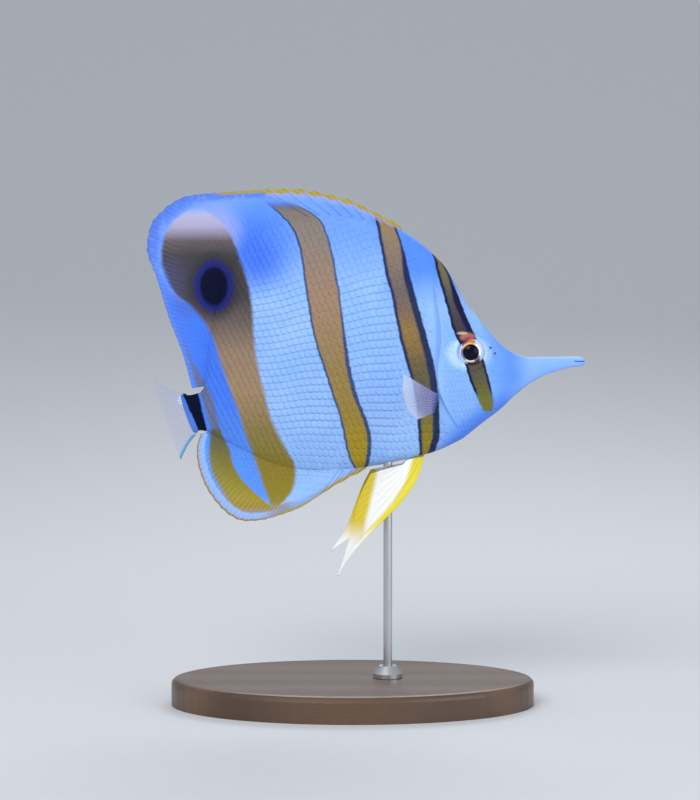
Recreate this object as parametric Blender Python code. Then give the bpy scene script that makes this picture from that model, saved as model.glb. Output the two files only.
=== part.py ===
"""Copperband butterflyfish, a still life-size model on a plain stand.

Blender 4.5.  Run with: blender --background --python part.py
The fish looks along +X, its right flank faces -Y, and +Z is up.
Sizes are in millimetres until a mesh is made, which is in metres.
"""

import math

import bmesh
import bpy
from mathutils import Vector

MM = 0.001

# Outlines of the body from the side, as (x, z), without the fins.
BACK = [(24.2, 156.7), (17.4, 161.3), (9.3, 164.2), (0.8, 166.3), (-9.4, 167.3), (-19.6, 166.3),
        (-28.8, 163.2), (-36.6, 157.4), (-42.4, 149.3), (-46.5, 138.0), (-48.9, 124.4), (-50.2, 113.6),
        (-50.9, 107.1)]
BELLY = [(37.5, 90.6), (28.2, 86.3), (16.1, 83.2), (6.6, 81.3), (-9.4, 79.4), (-17.9, 79.6),
         (-26.4, 81.6), (-34.2, 85.0), (-41.7, 88.7), (-49.5, 92.8)]
BROW = [(24.2, 156.7), (31.7, 149.1), (38.5, 137.4), (42.6, 132.4), (47.0, 126.8), (51.3, 122.4),
        (55.2, 120.0), (59.6, 118.7)]
THROAT = [(37.5, 90.6), (44.3, 96.1), (50.2, 100.6), (55.2, 105.4), (60.3, 109.5)]
SNOUT_TOP = [(59.6, 118.7), (68.8, 118.9), (74.8, 119.0)]
SNOUT_UNDER = [(60.3, 109.5), (65.4, 112.3), (70.5, 114.0), (74.8, 115.1)]
MOUTH_TIP = (78.8, 117.2)
MOUTH_LINE = 117.15

# Half widths of the body along its length, as (share of the length, half width).
TORSO_HALF = [(0.0, 9.2), (0.15, 9.8), (0.35, 9.1), (0.55, 7.5), (0.75, 5.3), (0.9, 3.7), (1.0, 3.0)]
HEAD_HALF = [(0.0, 9.2), (0.25, 8.7), (0.45, 7.6), (0.65, 5.7), (0.85, 3.4), (1.0, 2.4)]
SNOUT_HALF = [(0.0, 2.4), (0.5, 1.9), (1.0, 1.6)]
BACK_EDGE = [(0.0, 2.4), (0.12, 1.1), (1.0, 1.0)]
BELLY_EDGE = [(0.0, 2.6), (0.28, 2.5), (0.42, 1.1), (1.0, 1.0)]
BROW_EDGE = [(0.0, 2.4), (0.6, 2.0), (1.0, 1.0)]
THROAT_EDGE = [(0.0, 2.6), (0.6, 1.6), (1.0, 0.9)]
SNOUT_TOP_EDGE = [(0.0, 1.0), (1.0, 0.7)]
SNOUT_UNDER_EDGE = [(0.0, 0.9), (1.0, 0.7)]

# How the width falls off towards the edges: 0.5 is an oval, and 1 a lens with sharp edges.
TORSO_POWER = [(0.0, 0.62), (0.3, 0.86), (1.0, 0.9)]
HEAD_POWER = [(0.0, 0.62), (0.6, 0.62), (1.0, 0.5)]
SNOUT_POWER = [(0.0, 0.5), (1.0, 0.5)]

# The gill opening: how far it swings back from a straight cut, and how far the cover stands proud.
GILL_SWING = 5.2
GILL_LOW = -0.45
GILL_SPREAD = 0.42
GILL_RISE = 0.7
CHEEK_RIDGE_AT = 0.3
CHEEK_RIDGE_RISE = 0.4

# The sideways bend of the rear, away from the camera.
BEND_START = -15.0
BEND_END = -50.0
BEND_RATE = 0.003
TAIL_TURN_1 = math.radians(62.0)
TAIL_TURN_2 = math.radians(72.0)
TAIL_SINK = math.radians(8.0)
TAIL_LEAN = math.radians(13.0)
PEDUNCLE_LENGTH = 7.5
CAUDAL_LENGTH = 24.0
CAUDAL_SPREAD = 2.1
CAUDAL_FLARE = 1.1

# Gaps and thicknesses.
GAP = 0.3
ROOT_HALF = 0.95
TIP_HALF = 0.28
RAY_RISE = 0.16

# Eyes and nostrils.
EYE_X = 39.7
EYE_Z = 120.5
EYE_RADIUS = 4.7
EYE_DEPTH = 3.1
EYE_SUNK = 1.9
ORBIT_THICK = 0.5
ORBIT_RADIUS = 5.3
ORBIT_TURNS = 36
NOSTRILS = [(46.6, 121.9), (48.0, 120.0)]
NOSTRIL_RADIUS = 0.55

# Fins: the shares of the back or belly they grow from, and their outer margins as (x, z).
SPINY_DORSAL_ROOT = (0.055, 0.355)
SPINY_DORSAL_TIPS = [(15.8, 163.6), (11.3, 165.8), (-0.9, 171.8), (-14.5, 175.1), (-23.0, 175.7),
                     (-32.0, 175.2)]
SOFT_DORSAL_ROOT = (0.358, 0.985)
SOFT_DORSAL_TIPS = [(-32.4, 175.2), (-44.4, 174.5), (-55.3, 173.6), (-60.2, 171.9), (-64.3, 169.1),
                    (-68.9, 163.9), (-70.4, 154.7), (-67.1, 145.5), (-62.9, 131.9), (-58.2, 119.7),
                    (-54.9, 107.8)]
SPINY_ANAL_ROOT = (0.36, 0.47)
SPINY_ANAL_TIPS = [(4.2, 80.2), (-4.7, 75.5), (-11.0, 71.6)]
SOFT_ANAL_ROOT = (0.474, 0.985)
SOFT_ANAL_TIPS = [(-11.4, 71.3), (-17.9, 67.3), (-26.8, 64.0), (-32.7, 62.7), (-38.2, 62.7),
                  (-42.7, 64.9), (-46.8, 69.0), (-50.5, 74.6), (-52.9, 81.5), (-53.3, 87.7),
                  (-51.9, 92.2)]
DORSAL_SPINES = 9
DORSAL_RAYS = 24
ANAL_SPINES = 3
ANAL_RAYS = 18
CAUDAL_RAYS = 15
PECTORAL_RAYS = 12
SPINE_RISE = 0.3
NOTCH_FRONT = 0.2
NOTCH_REAR = 0.05

# The pelvic fins, their roots side by side under the breast; the left one trails a little more.
PELVIC_ROOT = [(24.2, 83.9), (18.6, 82.6)]
PELVIC_RIGHT_TIPS = [(-5.0, 44.7), (-1.6, 55.6), (-0.2, 61.5), (1.3, 67.8), (3.3, 73.8), (6.4, 78.0)]
PELVIC_LEFT_TIPS = [(-7.6, 51.5), (-2.4, 59.0), (-0.4, 64.2), (1.5, 69.4), (3.5, 74.5), (6.4, 78.0)]
PELVIC_BOW = 33.0
PELVIC_BOW_TURN = 0.65
PELVIC_BOW_FADE = 0.3
PELVIC_ROOT_SIDE = 1.35
PELVIC_TIP_SIDE = 7.0
PELVIC_RAYS = 6
PELVIC_ROOT_HALF = 0.75

# The pectoral fins, held out from the flanks.
PECTORAL_ROOT = [(28.7, 106.4), (27.2, 100.3)]
PECTORAL_TIPS = [(16.6, 114.2), (16.4, 107.5), (18.0, 102.0), (21.3, 98.6)]
PECTORAL_OUT = [23.0, 22.0, 18.0, 12.5]
PECTORAL_FIRST_OUT = 8.0
PECTORAL_ROOT_HALF = 0.65

# The stand.
BASE_LENGTH = 124.0
BASE_DEPTH = 78.0
BASE_HEIGHT = 9.0
BASE_EDGE = 2.0
ROD_X = 12.0
ROD_RADIUS = 1.5
ROD_TOP = 87.0
SOCKET_RADIUS = ROD_RADIUS + GAP
COLLAR_RADIUS = 5.0
COLLAR_HEIGHT = 4.0

STEPS = 10
RING_ROWS = 14
HEAD_ROWS = 16
HEAD_COLUMNS = 20
TORSO_COLUMNS = 30
SNOUT_ROWS = 10
EYE_TURNS = 24


def clear_scene():
    for thing in list(bpy.data.objects):
        bpy.data.objects.remove(thing, do_unlink=True)


def add_collection(name):
    group = bpy.data.collections.new(name)
    bpy.context.scene.collection.children.link(group)
    return group


def finish(name, colour, roughness, metallic=0.0):
    material = bpy.data.materials.new(name)
    material.use_nodes = True
    surface = material.node_tree.nodes["Principled BSDF"]
    surface.inputs["Base Color"].default_value = (*colour, 1.0)
    surface.inputs["Roughness"].default_value = roughness
    surface.inputs["Metallic"].default_value = metallic
    material.diffuse_color = (*colour, 1.0)
    return material


def read(pairs, share):
    """A smooth value through a few (share, value) pairs."""
    last = len(pairs) - 1
    k = 0
    while k < last - 1 and share > pairs[k + 1][0]:
        k += 1
    (x0, y0), (x1, y1) = pairs[k], pairs[k + 1]
    before = pairs[k - 1] if k > 0 else pairs[k]
    after = pairs[k + 2] if k + 2 <= last else pairs[k + 1]
    slope_0 = (y1 - before[1]) / (x1 - before[0])
    slope_1 = (after[1] - y0) / (after[0] - x0)
    width = x1 - x0
    t = min(max((share - x0) / width, 0.0), 1.0)
    rise = y0 * (1 + 2 * t) * (1 - t) ** 2 + y1 * t * t * (3 - 2 * t)
    lean = slope_0 * width * t * (1 - t) ** 2 + slope_1 * width * t * t * (t - 1)
    return rise + lean


def bell(x, middle, spread):
    return math.exp(-((x - middle) / spread) ** 2)


class Outline:
    """A smooth curve through a few points, read by the share of its length."""

    def __init__(self, points):
        corners = [Vector(p) for p in points]
        first = corners[0] * 2 - corners[1]
        last = corners[-1] * 2 - corners[-2]
        ring = [first] + corners + [last]
        self.points = []
        for k in range(1, len(ring) - 2):
            for step in range(STEPS):
                self.points.append(self.bend(ring[k - 1:k + 3], step / STEPS))
        self.points.append(corners[-1])
        self.lengths = [0.0]
        for a, b in zip(self.points, self.points[1:]):
            self.lengths.append(self.lengths[-1] + (b - a).length)
        self.length = self.lengths[-1]

    @staticmethod
    def bend(four, t):
        a, b, c, d = four
        cubic = (b * 3 - a - c * 3 + d) * t ** 3
        square = (a * 2 - b * 5 + c * 4 - d) * t * t
        return (b * 2 + (c - a) * t + square + cubic) * 0.5

    def at(self, share):
        goal = min(max(share, 0.0), 1.0) * self.length
        k = 0
        while k < len(self.lengths) - 2 and self.lengths[k + 1] < goal:
            k += 1
        step = self.lengths[k + 1] - self.lengths[k]
        return self.points[k].lerp(self.points[k + 1], (goal - self.lengths[k]) / step)

    def outward(self, share, side):
        """The unit direction square to the curve, on its left for a side of 1."""
        along = self.at(min(share + 0.01, 1.0)) - self.at(max(share - 0.01, 0.0))
        along.normalize()
        return Vector((-along.y, along.x)) * side


class Flank:
    """A stretch of the body between an upper and a lower outline.

    s runs along it from 0 to 1, and w from -1 at the lower outline to 1 at the upper."""

    def __init__(self, upper, lower, half, upper_edge, lower_edge, power, swing=0.0):
        self.upper = Outline(upper)
        self.lower = Outline(lower)
        self.widths = half
        self.upper_edge = upper_edge
        self.lower_edge = lower_edge
        self.power = power
        self.swing = swing

    def point(self, s, w):
        middle = self.lower.at(s).lerp(self.upper.at(s), (w + 1) / 2)
        fade = max(0.0, 1.0 - abs(s) / 0.4) ** 2
        middle.x -= self.swing * fade * bell(w, GILL_LOW, GILL_SPREAD) * (1 - w ** 8)
        return middle

    def half(self, s, w):
        share = (w + 1) / 2
        edge = read(self.lower_edge, s) * (1 - share) + read(self.upper_edge, s) * share
        width = read(self.widths, s)
        return edge + (width - edge) * max(0.0, 1 - w * w) ** read(self.power, s)

    def find(self, x, z):
        """The s and w of a place seen from the side, by a few corrected guesses."""
        s, w, step = 0.5, 0.0, 0.01
        for _ in range(12):
            here = self.point(s, w)
            along = (self.point(s + step, w) - here) / step
            up = (self.point(s, w + step) - here) / step
            off = Vector((x, z)) - here
            area = along.x * up.y - along.y * up.x
            s += (off.x * up.y - off.y * up.x) / area
            w += (along.x * off.y - along.y * off.x) / area
            s = min(max(s, 0.0), 0.98)
            w = min(max(w, -0.98), 0.98)
        return s, w


HEAD = Flank(BROW, THROAT, HEAD_HALF, BROW_EDGE, THROAT_EDGE, HEAD_POWER, GILL_SWING)
TORSO = Flank(BACK, BELLY, TORSO_HALF, BACK_EDGE, BELLY_EDGE, TORSO_POWER, GILL_SWING)
SNOUT = Flank(SNOUT_TOP, SNOUT_UNDER, SNOUT_HALF, SNOUT_TOP_EDGE, SNOUT_UNDER_EDGE, SNOUT_POWER)


def bend_at(x):
    """The sideways shift of the middle plane at x, and the unit direction across the body there."""
    reach = max(BEND_START - x, 0.0)
    stretch = BEND_START - BEND_END
    if reach <= stretch:
        shift, slope = BEND_RATE * reach ** 2, 2 * BEND_RATE * reach
    else:
        slope = 2 * BEND_RATE * stretch
        shift = BEND_RATE * stretch ** 2 + slope * (reach - stretch)
    return shift, Vector((slope, 1.0, 0.0)).normalized()


def bent(flat):
    """Puts a point of the side view on the bent middle plane."""
    shift, across = bend_at(flat.x)
    return Vector((flat.x, shift, flat.y)), across


def slab(name, columns, rows, place, group, material):
    """A closed solid of two faces over one grid.

    place(u, v) gives the middle point, the unit direction across and the half thickness there.
    Both faces are split alike, so that a thin slab keeps its thickness where it curves."""
    mesh = bmesh.new()
    sides = {-1: [], 1: []}
    for u in columns:
        line = [place(u, v) for v in rows]
        for side in sides:
            sides[side].append([mesh.verts.new((p + a * h * side) * MM) for p, a, h in line])
    wide, tall = len(columns) - 1, len(rows) - 1
    for side, grid in sides.items():
        for i in range(wide):
            for j in range(tall):
                a, b, c, d = grid[i][j], grid[i + 1][j], grid[i + 1][j + 1], grid[i][j + 1]
                for corners in ((a, b, c), (a, c, d)):
                    mesh.faces.new(corners)
    low, high = sides[-1], sides[1]
    for j in range(tall):
        mesh.faces.new((low[0][j], low[0][j + 1], high[0][j + 1], high[0][j]))
        mesh.faces.new((low[wide][j], low[wide][j + 1], high[wide][j + 1], high[wide][j]))
    for i in range(wide):
        mesh.faces.new((low[i][0], low[i + 1][0], high[i + 1][0], high[i][0]))
        mesh.faces.new((low[i][tall], low[i + 1][tall], high[i + 1][tall], high[i][tall]))
    bmesh.ops.recalc_face_normals(mesh, faces=mesh.faces)
    return keep(name, mesh, group, material)


def keep(name, mesh, group, material):
    data = bpy.data.meshes.new(name)
    mesh.to_mesh(data)
    mesh.free()
    data.materials.append(material)
    thing = bpy.data.objects.new(name, data)
    group.objects.link(thing)
    data.shade_smooth()
    data.set_sharp_from_angle(angle=math.radians(40))
    return thing


def evenly(count, start=0.0, end=1.0):
    return [start + (end - start) * k / count for k in range(count + 1)]


def round_rows(count):
    return [-math.cos(math.pi * k / count) for k in range(count + 1)]


def gill_cover(s, w):
    """How far the gill cover and the ridge of the cheek stand proud."""
    belt = max(0.0, 1 - ((w + 0.15) / 0.75) ** 4)
    cover = GILL_RISE * belt * max(0.0, 1 - s / 0.5)
    return cover + CHEEK_RIDGE_RISE * belt * bell(s, CHEEK_RIDGE_AT + 0.1 * w, 0.05)


def make_head(group, cutters, material):
    def place(s, w):
        flat = HEAD.point(s, w)
        if s == 0.0:
            flat.x += GAP / 2
        point, across = bent(flat)
        return point, across, HEAD.half(s, w) + gill_cover(s, w)

    columns = [1 - (1 - t) ** 1.15 for t in evenly(HEAD_COLUMNS, 0.0, 0.997)]
    head = slab("head", columns, round_rows(HEAD_ROWS), place, group, material)
    for side in (-1, 1):
        cut(head, make_orbit(side, cutters, material), "UNION")
        cut(head, eye_ball("socket", side, GAP, cutters, material), "DIFFERENCE")
        for x, z in NOSTRILS:
            s, w = HEAD.find(x, z)
            mesh = bmesh.new()
            bmesh.ops.create_icosphere(mesh, subdivisions=1, radius=NOSTRIL_RADIUS * MM)
            pit = keep("nostril", mesh, cutters, material)
            pit.location = Vector((x, side * HEAD.half(s, w), z)) * MM
            cut(head, pit, "DIFFERENCE")
    return head


def make_orbit(side, group, material):
    """A ring that lies on the side of the head round the eye."""
    mesh = bmesh.new()
    rings = []
    for k in range(ORBIT_TURNS):
        turn = math.tau * k / ORBIT_TURNS
        ring = []
        for corner in range(8):
            angle = math.tau * corner / 8
            away = ORBIT_RADIUS + ORBIT_THICK * math.cos(angle)
            x = EYE_X + away * math.cos(turn)
            z = EYE_Z + away * math.sin(turn)
            s, w = HEAD.find(x, z)
            out = HEAD.half(s, w) + gill_cover(s, w) + ORBIT_THICK * (math.sin(angle) - 0.25)
            ring.append(mesh.verts.new(Vector((x, side * out, z)) * MM))
        rings.append(ring)
    for a, b in zip(rings, rings[1:] + rings[:1]):
        for k in range(8):
            mesh.faces.new((a[k], b[k], b[(k + 1) % 8], a[(k + 1) % 8]))
    bmesh.ops.recalc_face_normals(mesh, faces=mesh.faces)
    return keep("orbit", mesh, group, material)


def cut(thing, cutter, operation):
    cutter.hide_render = True
    cutter.display_type = "WIRE"
    step = thing.modifiers.new(cutter.name, "BOOLEAN")
    step.operation = operation
    step.solver = "EXACT"
    step.object = cutter


def eye_ball(name, side, grow, group, material):
    """A flattened ball that sits in the side of the head."""
    s, w = HEAD.find(EYE_X, EYE_Z)
    mesh = bmesh.new()
    bmesh.ops.create_uvsphere(mesh, u_segments=EYE_TURNS, v_segments=12, radius=1.0)
    radius = (EYE_RADIUS + grow) * MM
    depth = (EYE_DEPTH + grow) * MM
    for vert in mesh.verts:
        x, y, z = vert.co
        vert.co = (x * radius, z * depth, -y * radius)
    bmesh.ops.recalc_face_normals(mesh, faces=mesh.faces)
    ball = keep(name, mesh, group, material)
    ball.location = Vector((EYE_X, side * (HEAD.half(s, w) - EYE_SUNK), EYE_Z)) * MM
    return ball


def make_snout(group, material):
    def place(s, w):
        flat = SNOUT.point(s, w)
        if s == 0.0:
            flat.x += GAP
        point, across = bent(flat)
        return point, across, SNOUT.half(s, w)

    slab("snout", evenly(8), round_rows(SNOUT_ROWS), place, group, material)


def make_jaw(name, upper, group, material):
    """Half of the snout's end, above or below the line of the mouth, with a fuller lip."""
    tip = Vector(MOUTH_TIP)
    outline = SNOUT.upper if upper else SNOUT.lower
    rim = outline.at(1.0)

    def place(t, w):
        x = rim.x + GAP + (tip.x - rim.x - GAP) * t
        round_off = math.sqrt(max(0.0, 1 - (t * 0.93) ** 4))
        outer = tip.y + (rim.y - tip.y) * (0.25 + 0.75 * round_off)
        inner = MOUTH_LINE + (GAP / 2 if upper else -GAP / 2)
        z = inner + (outer - inner) * w
        lip = 0.22 * bell(t, 0.75, 0.2)
        width = (read(SNOUT_HALF, 1.0) + lip) * (0.35 + 0.65 * round_off)
        half = 0.3 + (width - 0.3) * math.sqrt(max(0.0, 1 - w * w))
        return Vector((x, 0.0, z)), Vector((0.0, 1.0, 0.0)), half

    rows = [math.sin(math.pi / 2 * k / 4) for k in range(5)]
    slab(name, evenly(6), rows, place, group, material)


def make_torso(group, cutters, material):
    def place(s, w):
        flat = TORSO.point(s, w)
        if s == 0.0:
            flat.x -= GAP / 2
        point, across = bent(flat)
        return point, across, TORSO.half(s, w)

    torso = slab("torso", evenly(TORSO_COLUMNS), round_rows(RING_ROWS), place, group, material)
    mesh = bmesh.new()
    bmesh.ops.create_cone(mesh, cap_ends=True, segments=16, radius1=SOCKET_RADIUS * MM,
                          radius2=SOCKET_RADIUS * MM, depth=20 * MM)
    socket = keep("rod_socket", mesh, cutters, material)
    socket.location = Vector((ROD_X, 0.0, ROD_TOP + GAP - 10)) * MM
    cut(torso, socket, "DIFFERENCE")


def tail_at(length):
    """Where the tail's path has come to, and the way it heads, after a length from the body's end."""
    first_turn = math.atan(2 * BEND_RATE * (BEND_START - BEND_END))
    spot = Vector((0.0, 0.0, 0.0))
    pieces = 24
    step = length / pieces
    for k in range(pieces + 1):
        here = (k + 0.5) * step if k < pieces else length
        if here < PEDUNCLE_LENGTH:
            turn = first_turn + (TAIL_TURN_1 - first_turn) * here / PEDUNCLE_LENGTH
        else:
            turn = TAIL_TURN_1 + (TAIL_TURN_2 - TAIL_TURN_1) * (here - PEDUNCLE_LENGTH) / CAUDAL_LENGTH
        heading = Vector((-math.cos(turn), math.sin(turn), -math.sin(TAIL_SINK)))
        if k < pieces:
            spot += heading * step
    return spot, Vector((math.sin(turn), math.cos(turn), 0.0))


def tail_place(length, w, spread):
    """A point of the tail, w from -1 below to 1 above, with the direction across it."""
    flat = TORSO.point(1.0, w)
    foot, across_0 = bent(flat)
    middle, _ = bent(TORSO.point(1.0, 0.0))
    spot, across = tail_at(length)
    rise = foot - middle
    lean = TAIL_LEAN * min(length / PEDUNCLE_LENGTH, 1.0)
    turned = Vector((rise.x * math.cos(lean) - rise.z * math.sin(lean), rise.y,
                     rise.z * math.cos(lean) + rise.x * math.sin(lean)))
    return middle + spot + turned * spread, across_0 if length <= GAP else across


def make_peduncle(group, material):
    def place(t, w):
        length = GAP + (PEDUNCLE_LENGTH - GAP) * t
        spread = 1 - 0.1 * math.sin(math.pi * t)
        point, across = tail_place(length, w, spread)
        full = TORSO.half(1.0, w)
        slim = ROOT_HALF + 0.9 * math.sqrt(max(0.0, 1 - w * w))
        return point, across, full + (slim - full) * t

    slab("tail_peduncle", evenly(6), round_rows(SNOUT_ROWS), place, group, material)


def make_caudal(group, material):
    def place(u, v):
        w = 2 * u - 1
        bulge = 1 + 0.06 * (1 - w * w)
        length = PEDUNCLE_LENGTH + GAP + CAUDAL_LENGTH * bulge * v
        spread = 1 + (CAUDAL_SPREAD - 1) * v ** CAUDAL_FLARE
        point, across = tail_place(length, w, spread)
        return point, across, ray_half(u, v, CAUDAL_RAYS)

    slab("caudal_fin", evenly(2 * CAUDAL_RAYS), evenly(6), place, group, material)


def ray_half(u, v, rays):
    """Half the thickness of a rayed fin, from root to tip, more along each ray."""
    taper = ROOT_HALF + (TIP_HALF - ROOT_HALF) * v ** 0.8
    on_ray = 0.5 - 0.5 * math.cos(2 * math.pi * u * rays)
    return taper + RAY_RISE * on_ray * (1 - 0.6 * v) * min(1.0, v * 4)


def make_median_fin(name, outline, side, root, tips, rays, group, material):
    """A fin of the back or belly, in the middle plane of the body."""
    margin = Outline(tips)

    def place(u, v):
        share = root[0] + (root[1] - root[0]) * u
        foot = outline.at(share) + outline.outward(share, side) * GAP
        flat = foot.lerp(margin.at(u), v)
        point, across = bent(flat)
        return point, across, ray_half(u, v, rays)

    slab(name, evenly(2 * rays), [0.0, 0.12, 0.32, 0.55, 0.78, 1.0], place, group, material)


def make_spiny_fin(name, outline, side, root, tips, spines, group, material):
    """A fin of stiff spines, its skin notched behind each, less so further back."""
    margin = Outline(tips)
    columns = []
    for k in range(spines):
        columns += [(k + part) / spines for part in (0.0, 0.36, 0.5, 0.64)]
    columns.append(1.0)

    def place(u, v):
        share = root[0] + (root[1] - root[0]) * u
        foot = outline.at(share) + outline.outward(share, side) * GAP
        beside = abs((u * spines) % 1.0 - 0.5) * 2
        notch = (NOTCH_FRONT + (NOTCH_REAR - NOTCH_FRONT) * u) * beside ** 1.5
        if u in (0.0, 1.0):
            notch *= 1.0 - u
        flat = foot.lerp(margin.at(u), v * (1 - notch))
        point, across = bent(flat)
        taper = ROOT_HALF + (TIP_HALF - ROOT_HALF) * v
        spine = SPINE_RISE * max(0.0, 1 - beside / 0.28) * (1 - 0.7 * v) * min(1.0, v * 4)
        return point, across, taper + spine

    slab(name, columns, [0.0, 0.15, 0.4, 0.7, 1.0], place, group, material)


def across_of(centre, u, v):
    """The unit direction square to a curved sheet."""
    step = 0.01
    along = centre(min(u + step, 1.0), v) - centre(max(u - step, 0.0), v)
    out = centre(u, min(v + step, 1.0)) - centre(u, max(v - step, 0.0))
    return along.cross(out).normalized()


def pelvic_bow(u, v):
    """How far a front ray leaves a straight line: forwards near its root, backwards near its tip."""
    fade = max(0.0, 1 - u / PELVIC_BOW_FADE) ** 2
    return PELVIC_BOW * v * (1 - v) * (PELVIC_BOW_TURN - v) * fade


def make_pelvic(name, side, tips, group, material):
    root = Outline(PELVIC_ROOT)
    margin = Outline(tips)

    def centre(u, v):
        ray = margin.at(u) - root.at(u)
        out = Vector((-ray.y, ray.x)).normalized()
        flat = root.at(u) + ray * v + out * pelvic_bow(u, v)
        spread = v ** 0.75
        away = PELVIC_ROOT_SIDE + (PELVIC_TIP_SIDE - PELVIC_ROOT_SIDE) * spread + 0.8 * u * v
        return Vector((flat.x, side * away, flat.y))

    def place(u, v):
        across = across_of(centre, u, v) if v > 0 else Vector((0.0, 1.0, 0.0))
        if across.y < 0:
            across.negate()
        taper = PELVIC_ROOT_HALF + (TIP_HALF - PELVIC_ROOT_HALF) * v ** 0.8
        on_ray = 0.5 + 0.5 * math.cos(2 * math.pi * u * PELVIC_RAYS)
        return centre(u, v), across, taper + 0.18 * on_ray * (1 - v) * min(1.0, v * 4)

    rows = [0.0, 0.1, 0.25, 0.42, 0.6, 0.8, 1.0]
    slab(name, evenly(2 * PELVIC_RAYS), rows, place, group, material)


def make_pectoral(name, side, group, material):
    root = Outline(PECTORAL_ROOT)
    margin = Outline(PECTORAL_TIPS)
    reach = [(k / (len(PECTORAL_OUT) - 1), out) for k, out in enumerate(PECTORAL_OUT)]

    def centre(u, v):
        foot = root.at(u)
        s, w = TORSO.find(foot.x, foot.y)
        start = Vector((foot.x, TORSO.half(s, w) + GAP + 0.1, foot.y))
        tip = margin.at(u)
        end = Vector((tip.x, start.y + read(reach, u), tip.y))
        first = start + Vector((0.0, PECTORAL_FIRST_OUT, 0.0))
        point = start * (1 - v) ** 2 + first * 2 * v * (1 - v) + end * v * v
        point.y *= side
        return point

    def place(u, v):
        across = across_of(centre, u, v)
        if v == 0.0:
            across = Vector((1.0, 0.0, 0.0))
        if across.x < 0:
            across.negate()
        taper = PECTORAL_ROOT_HALF + (TIP_HALF - PECTORAL_ROOT_HALF) * v ** 0.8
        on_ray = 0.5 - 0.5 * math.cos(2 * math.pi * u * PECTORAL_RAYS)
        return centre(u, v), across, taper + 0.12 * on_ray * (1 - 0.6 * v) * min(1.0, v * 4)

    slab(name, evenly(2 * PECTORAL_RAYS), [0.0, 0.15, 0.35, 0.6, 0.8, 1.0], place, group, material)


def make_stand(group, wood, steel):
    mesh = bmesh.new()
    bmesh.ops.create_cone(mesh, cap_ends=True, segments=64, radius1=1.0, radius2=1.0, depth=1.0)
    for vert in mesh.verts:
        vert.co.x *= BASE_LENGTH / 2 * MM
        vert.co.y *= BASE_DEPTH / 2 * MM
        vert.co.z *= BASE_HEIGHT * MM
    top = [e for e in mesh.edges if all(v.co.z > 0 for v in e.verts)]
    bmesh.ops.bevel(mesh, geom=top, offset=BASE_EDGE * MM, segments=3, profile=0.5, affect="EDGES")
    base = keep("stand_base", mesh, group, wood)
    base.location.z = BASE_HEIGHT / 2 * MM

    foot = BASE_HEIGHT + GAP / 2
    mesh = bmesh.new()
    bmesh.ops.create_cone(mesh, cap_ends=True, segments=20, radius1=ROD_RADIUS * MM,
                          radius2=ROD_RADIUS * MM, depth=(ROD_TOP - foot) * MM)
    rod = keep("stand_rod", mesh, group, steel)
    rod.location = Vector((ROD_X, 0.0, (ROD_TOP + foot) / 2)) * MM

    inner = ROD_RADIUS + GAP
    top_of_collar = foot + COLLAR_HEIGHT
    profile = [(inner, foot), (inner, top_of_collar), (COLLAR_RADIUS * 0.6, top_of_collar),
               (COLLAR_RADIUS, foot + COLLAR_HEIGHT * 0.35), (COLLAR_RADIUS, foot)]
    mesh = bmesh.new()
    ring = [mesh.verts.new((x * MM, 0.0, z * MM)) for x, z in profile]
    edges = [mesh.edges.new((a, b)) for a, b in zip(ring, ring[1:] + ring[:1])]
    bmesh.ops.spin(mesh, geom=ring + edges, axis=(0, 0, 1), cent=(0, 0, 0), steps=32,
                   angle=math.tau, use_merge=True)
    bmesh.ops.remove_doubles(mesh, verts=mesh.verts, dist=1e-6)
    bmesh.ops.recalc_face_normals(mesh, faces=mesh.faces)
    collar = keep("stand_collar", mesh, group, steel)
    collar.location.x = ROD_X * MM


def main():
    clear_scene()
    group = add_collection("copperband_butterflyfish")
    cutters = add_collection("cutters")
    skin = finish("pale_skin", (0.72, 0.80, 0.92), 0.42)
    cover = finish("snout_skin", (0.66, 0.75, 0.90), 0.42)
    yellow = finish("yellow_fin", (0.78, 0.66, 0.22), 0.45)
    copper = finish("copper_fin", (0.55, 0.42, 0.30), 0.45)
    clear = finish("clear_fin", (0.70, 0.74, 0.95), 0.35)
    dark = finish("dark_bar", (0.03, 0.03, 0.12), 0.40)
    black = finish("eye_black", (0.01, 0.01, 0.03), 0.12)
    wood = finish("stand_wood", (0.16, 0.09, 0.05), 0.40)
    steel = finish("stand_steel", (0.60, 0.60, 0.62), 0.30, 1.0)

    make_head(group, cutters, skin)
    make_snout(group, cover)
    make_jaw("upper_jaw", True, group, cover)
    make_jaw("lower_jaw", False, group, cover)
    make_torso(group, cutters, skin)
    make_peduncle(group, dark)
    make_caudal(group, clear)
    make_spiny_fin("dorsal_fin_spiny", TORSO.upper, -1, SPINY_DORSAL_ROOT, SPINY_DORSAL_TIPS,
                   DORSAL_SPINES, group, yellow)
    make_median_fin("dorsal_fin_soft", TORSO.upper, -1, SOFT_DORSAL_ROOT, SOFT_DORSAL_TIPS,
                    DORSAL_RAYS, group, copper)
    make_spiny_fin("anal_fin_spiny", TORSO.lower, 1, SPINY_ANAL_ROOT, SPINY_ANAL_TIPS,
                   ANAL_SPINES, group, yellow)
    make_median_fin("anal_fin_soft", TORSO.lower, 1, SOFT_ANAL_ROOT, SOFT_ANAL_TIPS,
                    ANAL_RAYS, group, yellow)
    for word, side, tips in (("right", -1, PELVIC_RIGHT_TIPS), ("left", 1, PELVIC_LEFT_TIPS)):
        make_pelvic("pelvic_fin_" + word, side, tips, group, yellow)
        make_pectoral("pectoral_fin_" + word, side, group, clear)
        eye_ball("eye_" + word, side, 0.0, group, black)
    make_stand(group, wood, steel)


main()
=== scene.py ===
"""Looks of the copperband butterflyfish: one skin, solid scales, rayed fins, eyes and stand.

Sizes are in millimetres until a mesh is made, which is in metres.
The fish looks along +X, its right flank faces -Y, and +Z is up.
"""

import math
import random

import bpy
import numpy as np
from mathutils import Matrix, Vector
from mathutils.bvhtree import BVHTree


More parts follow.
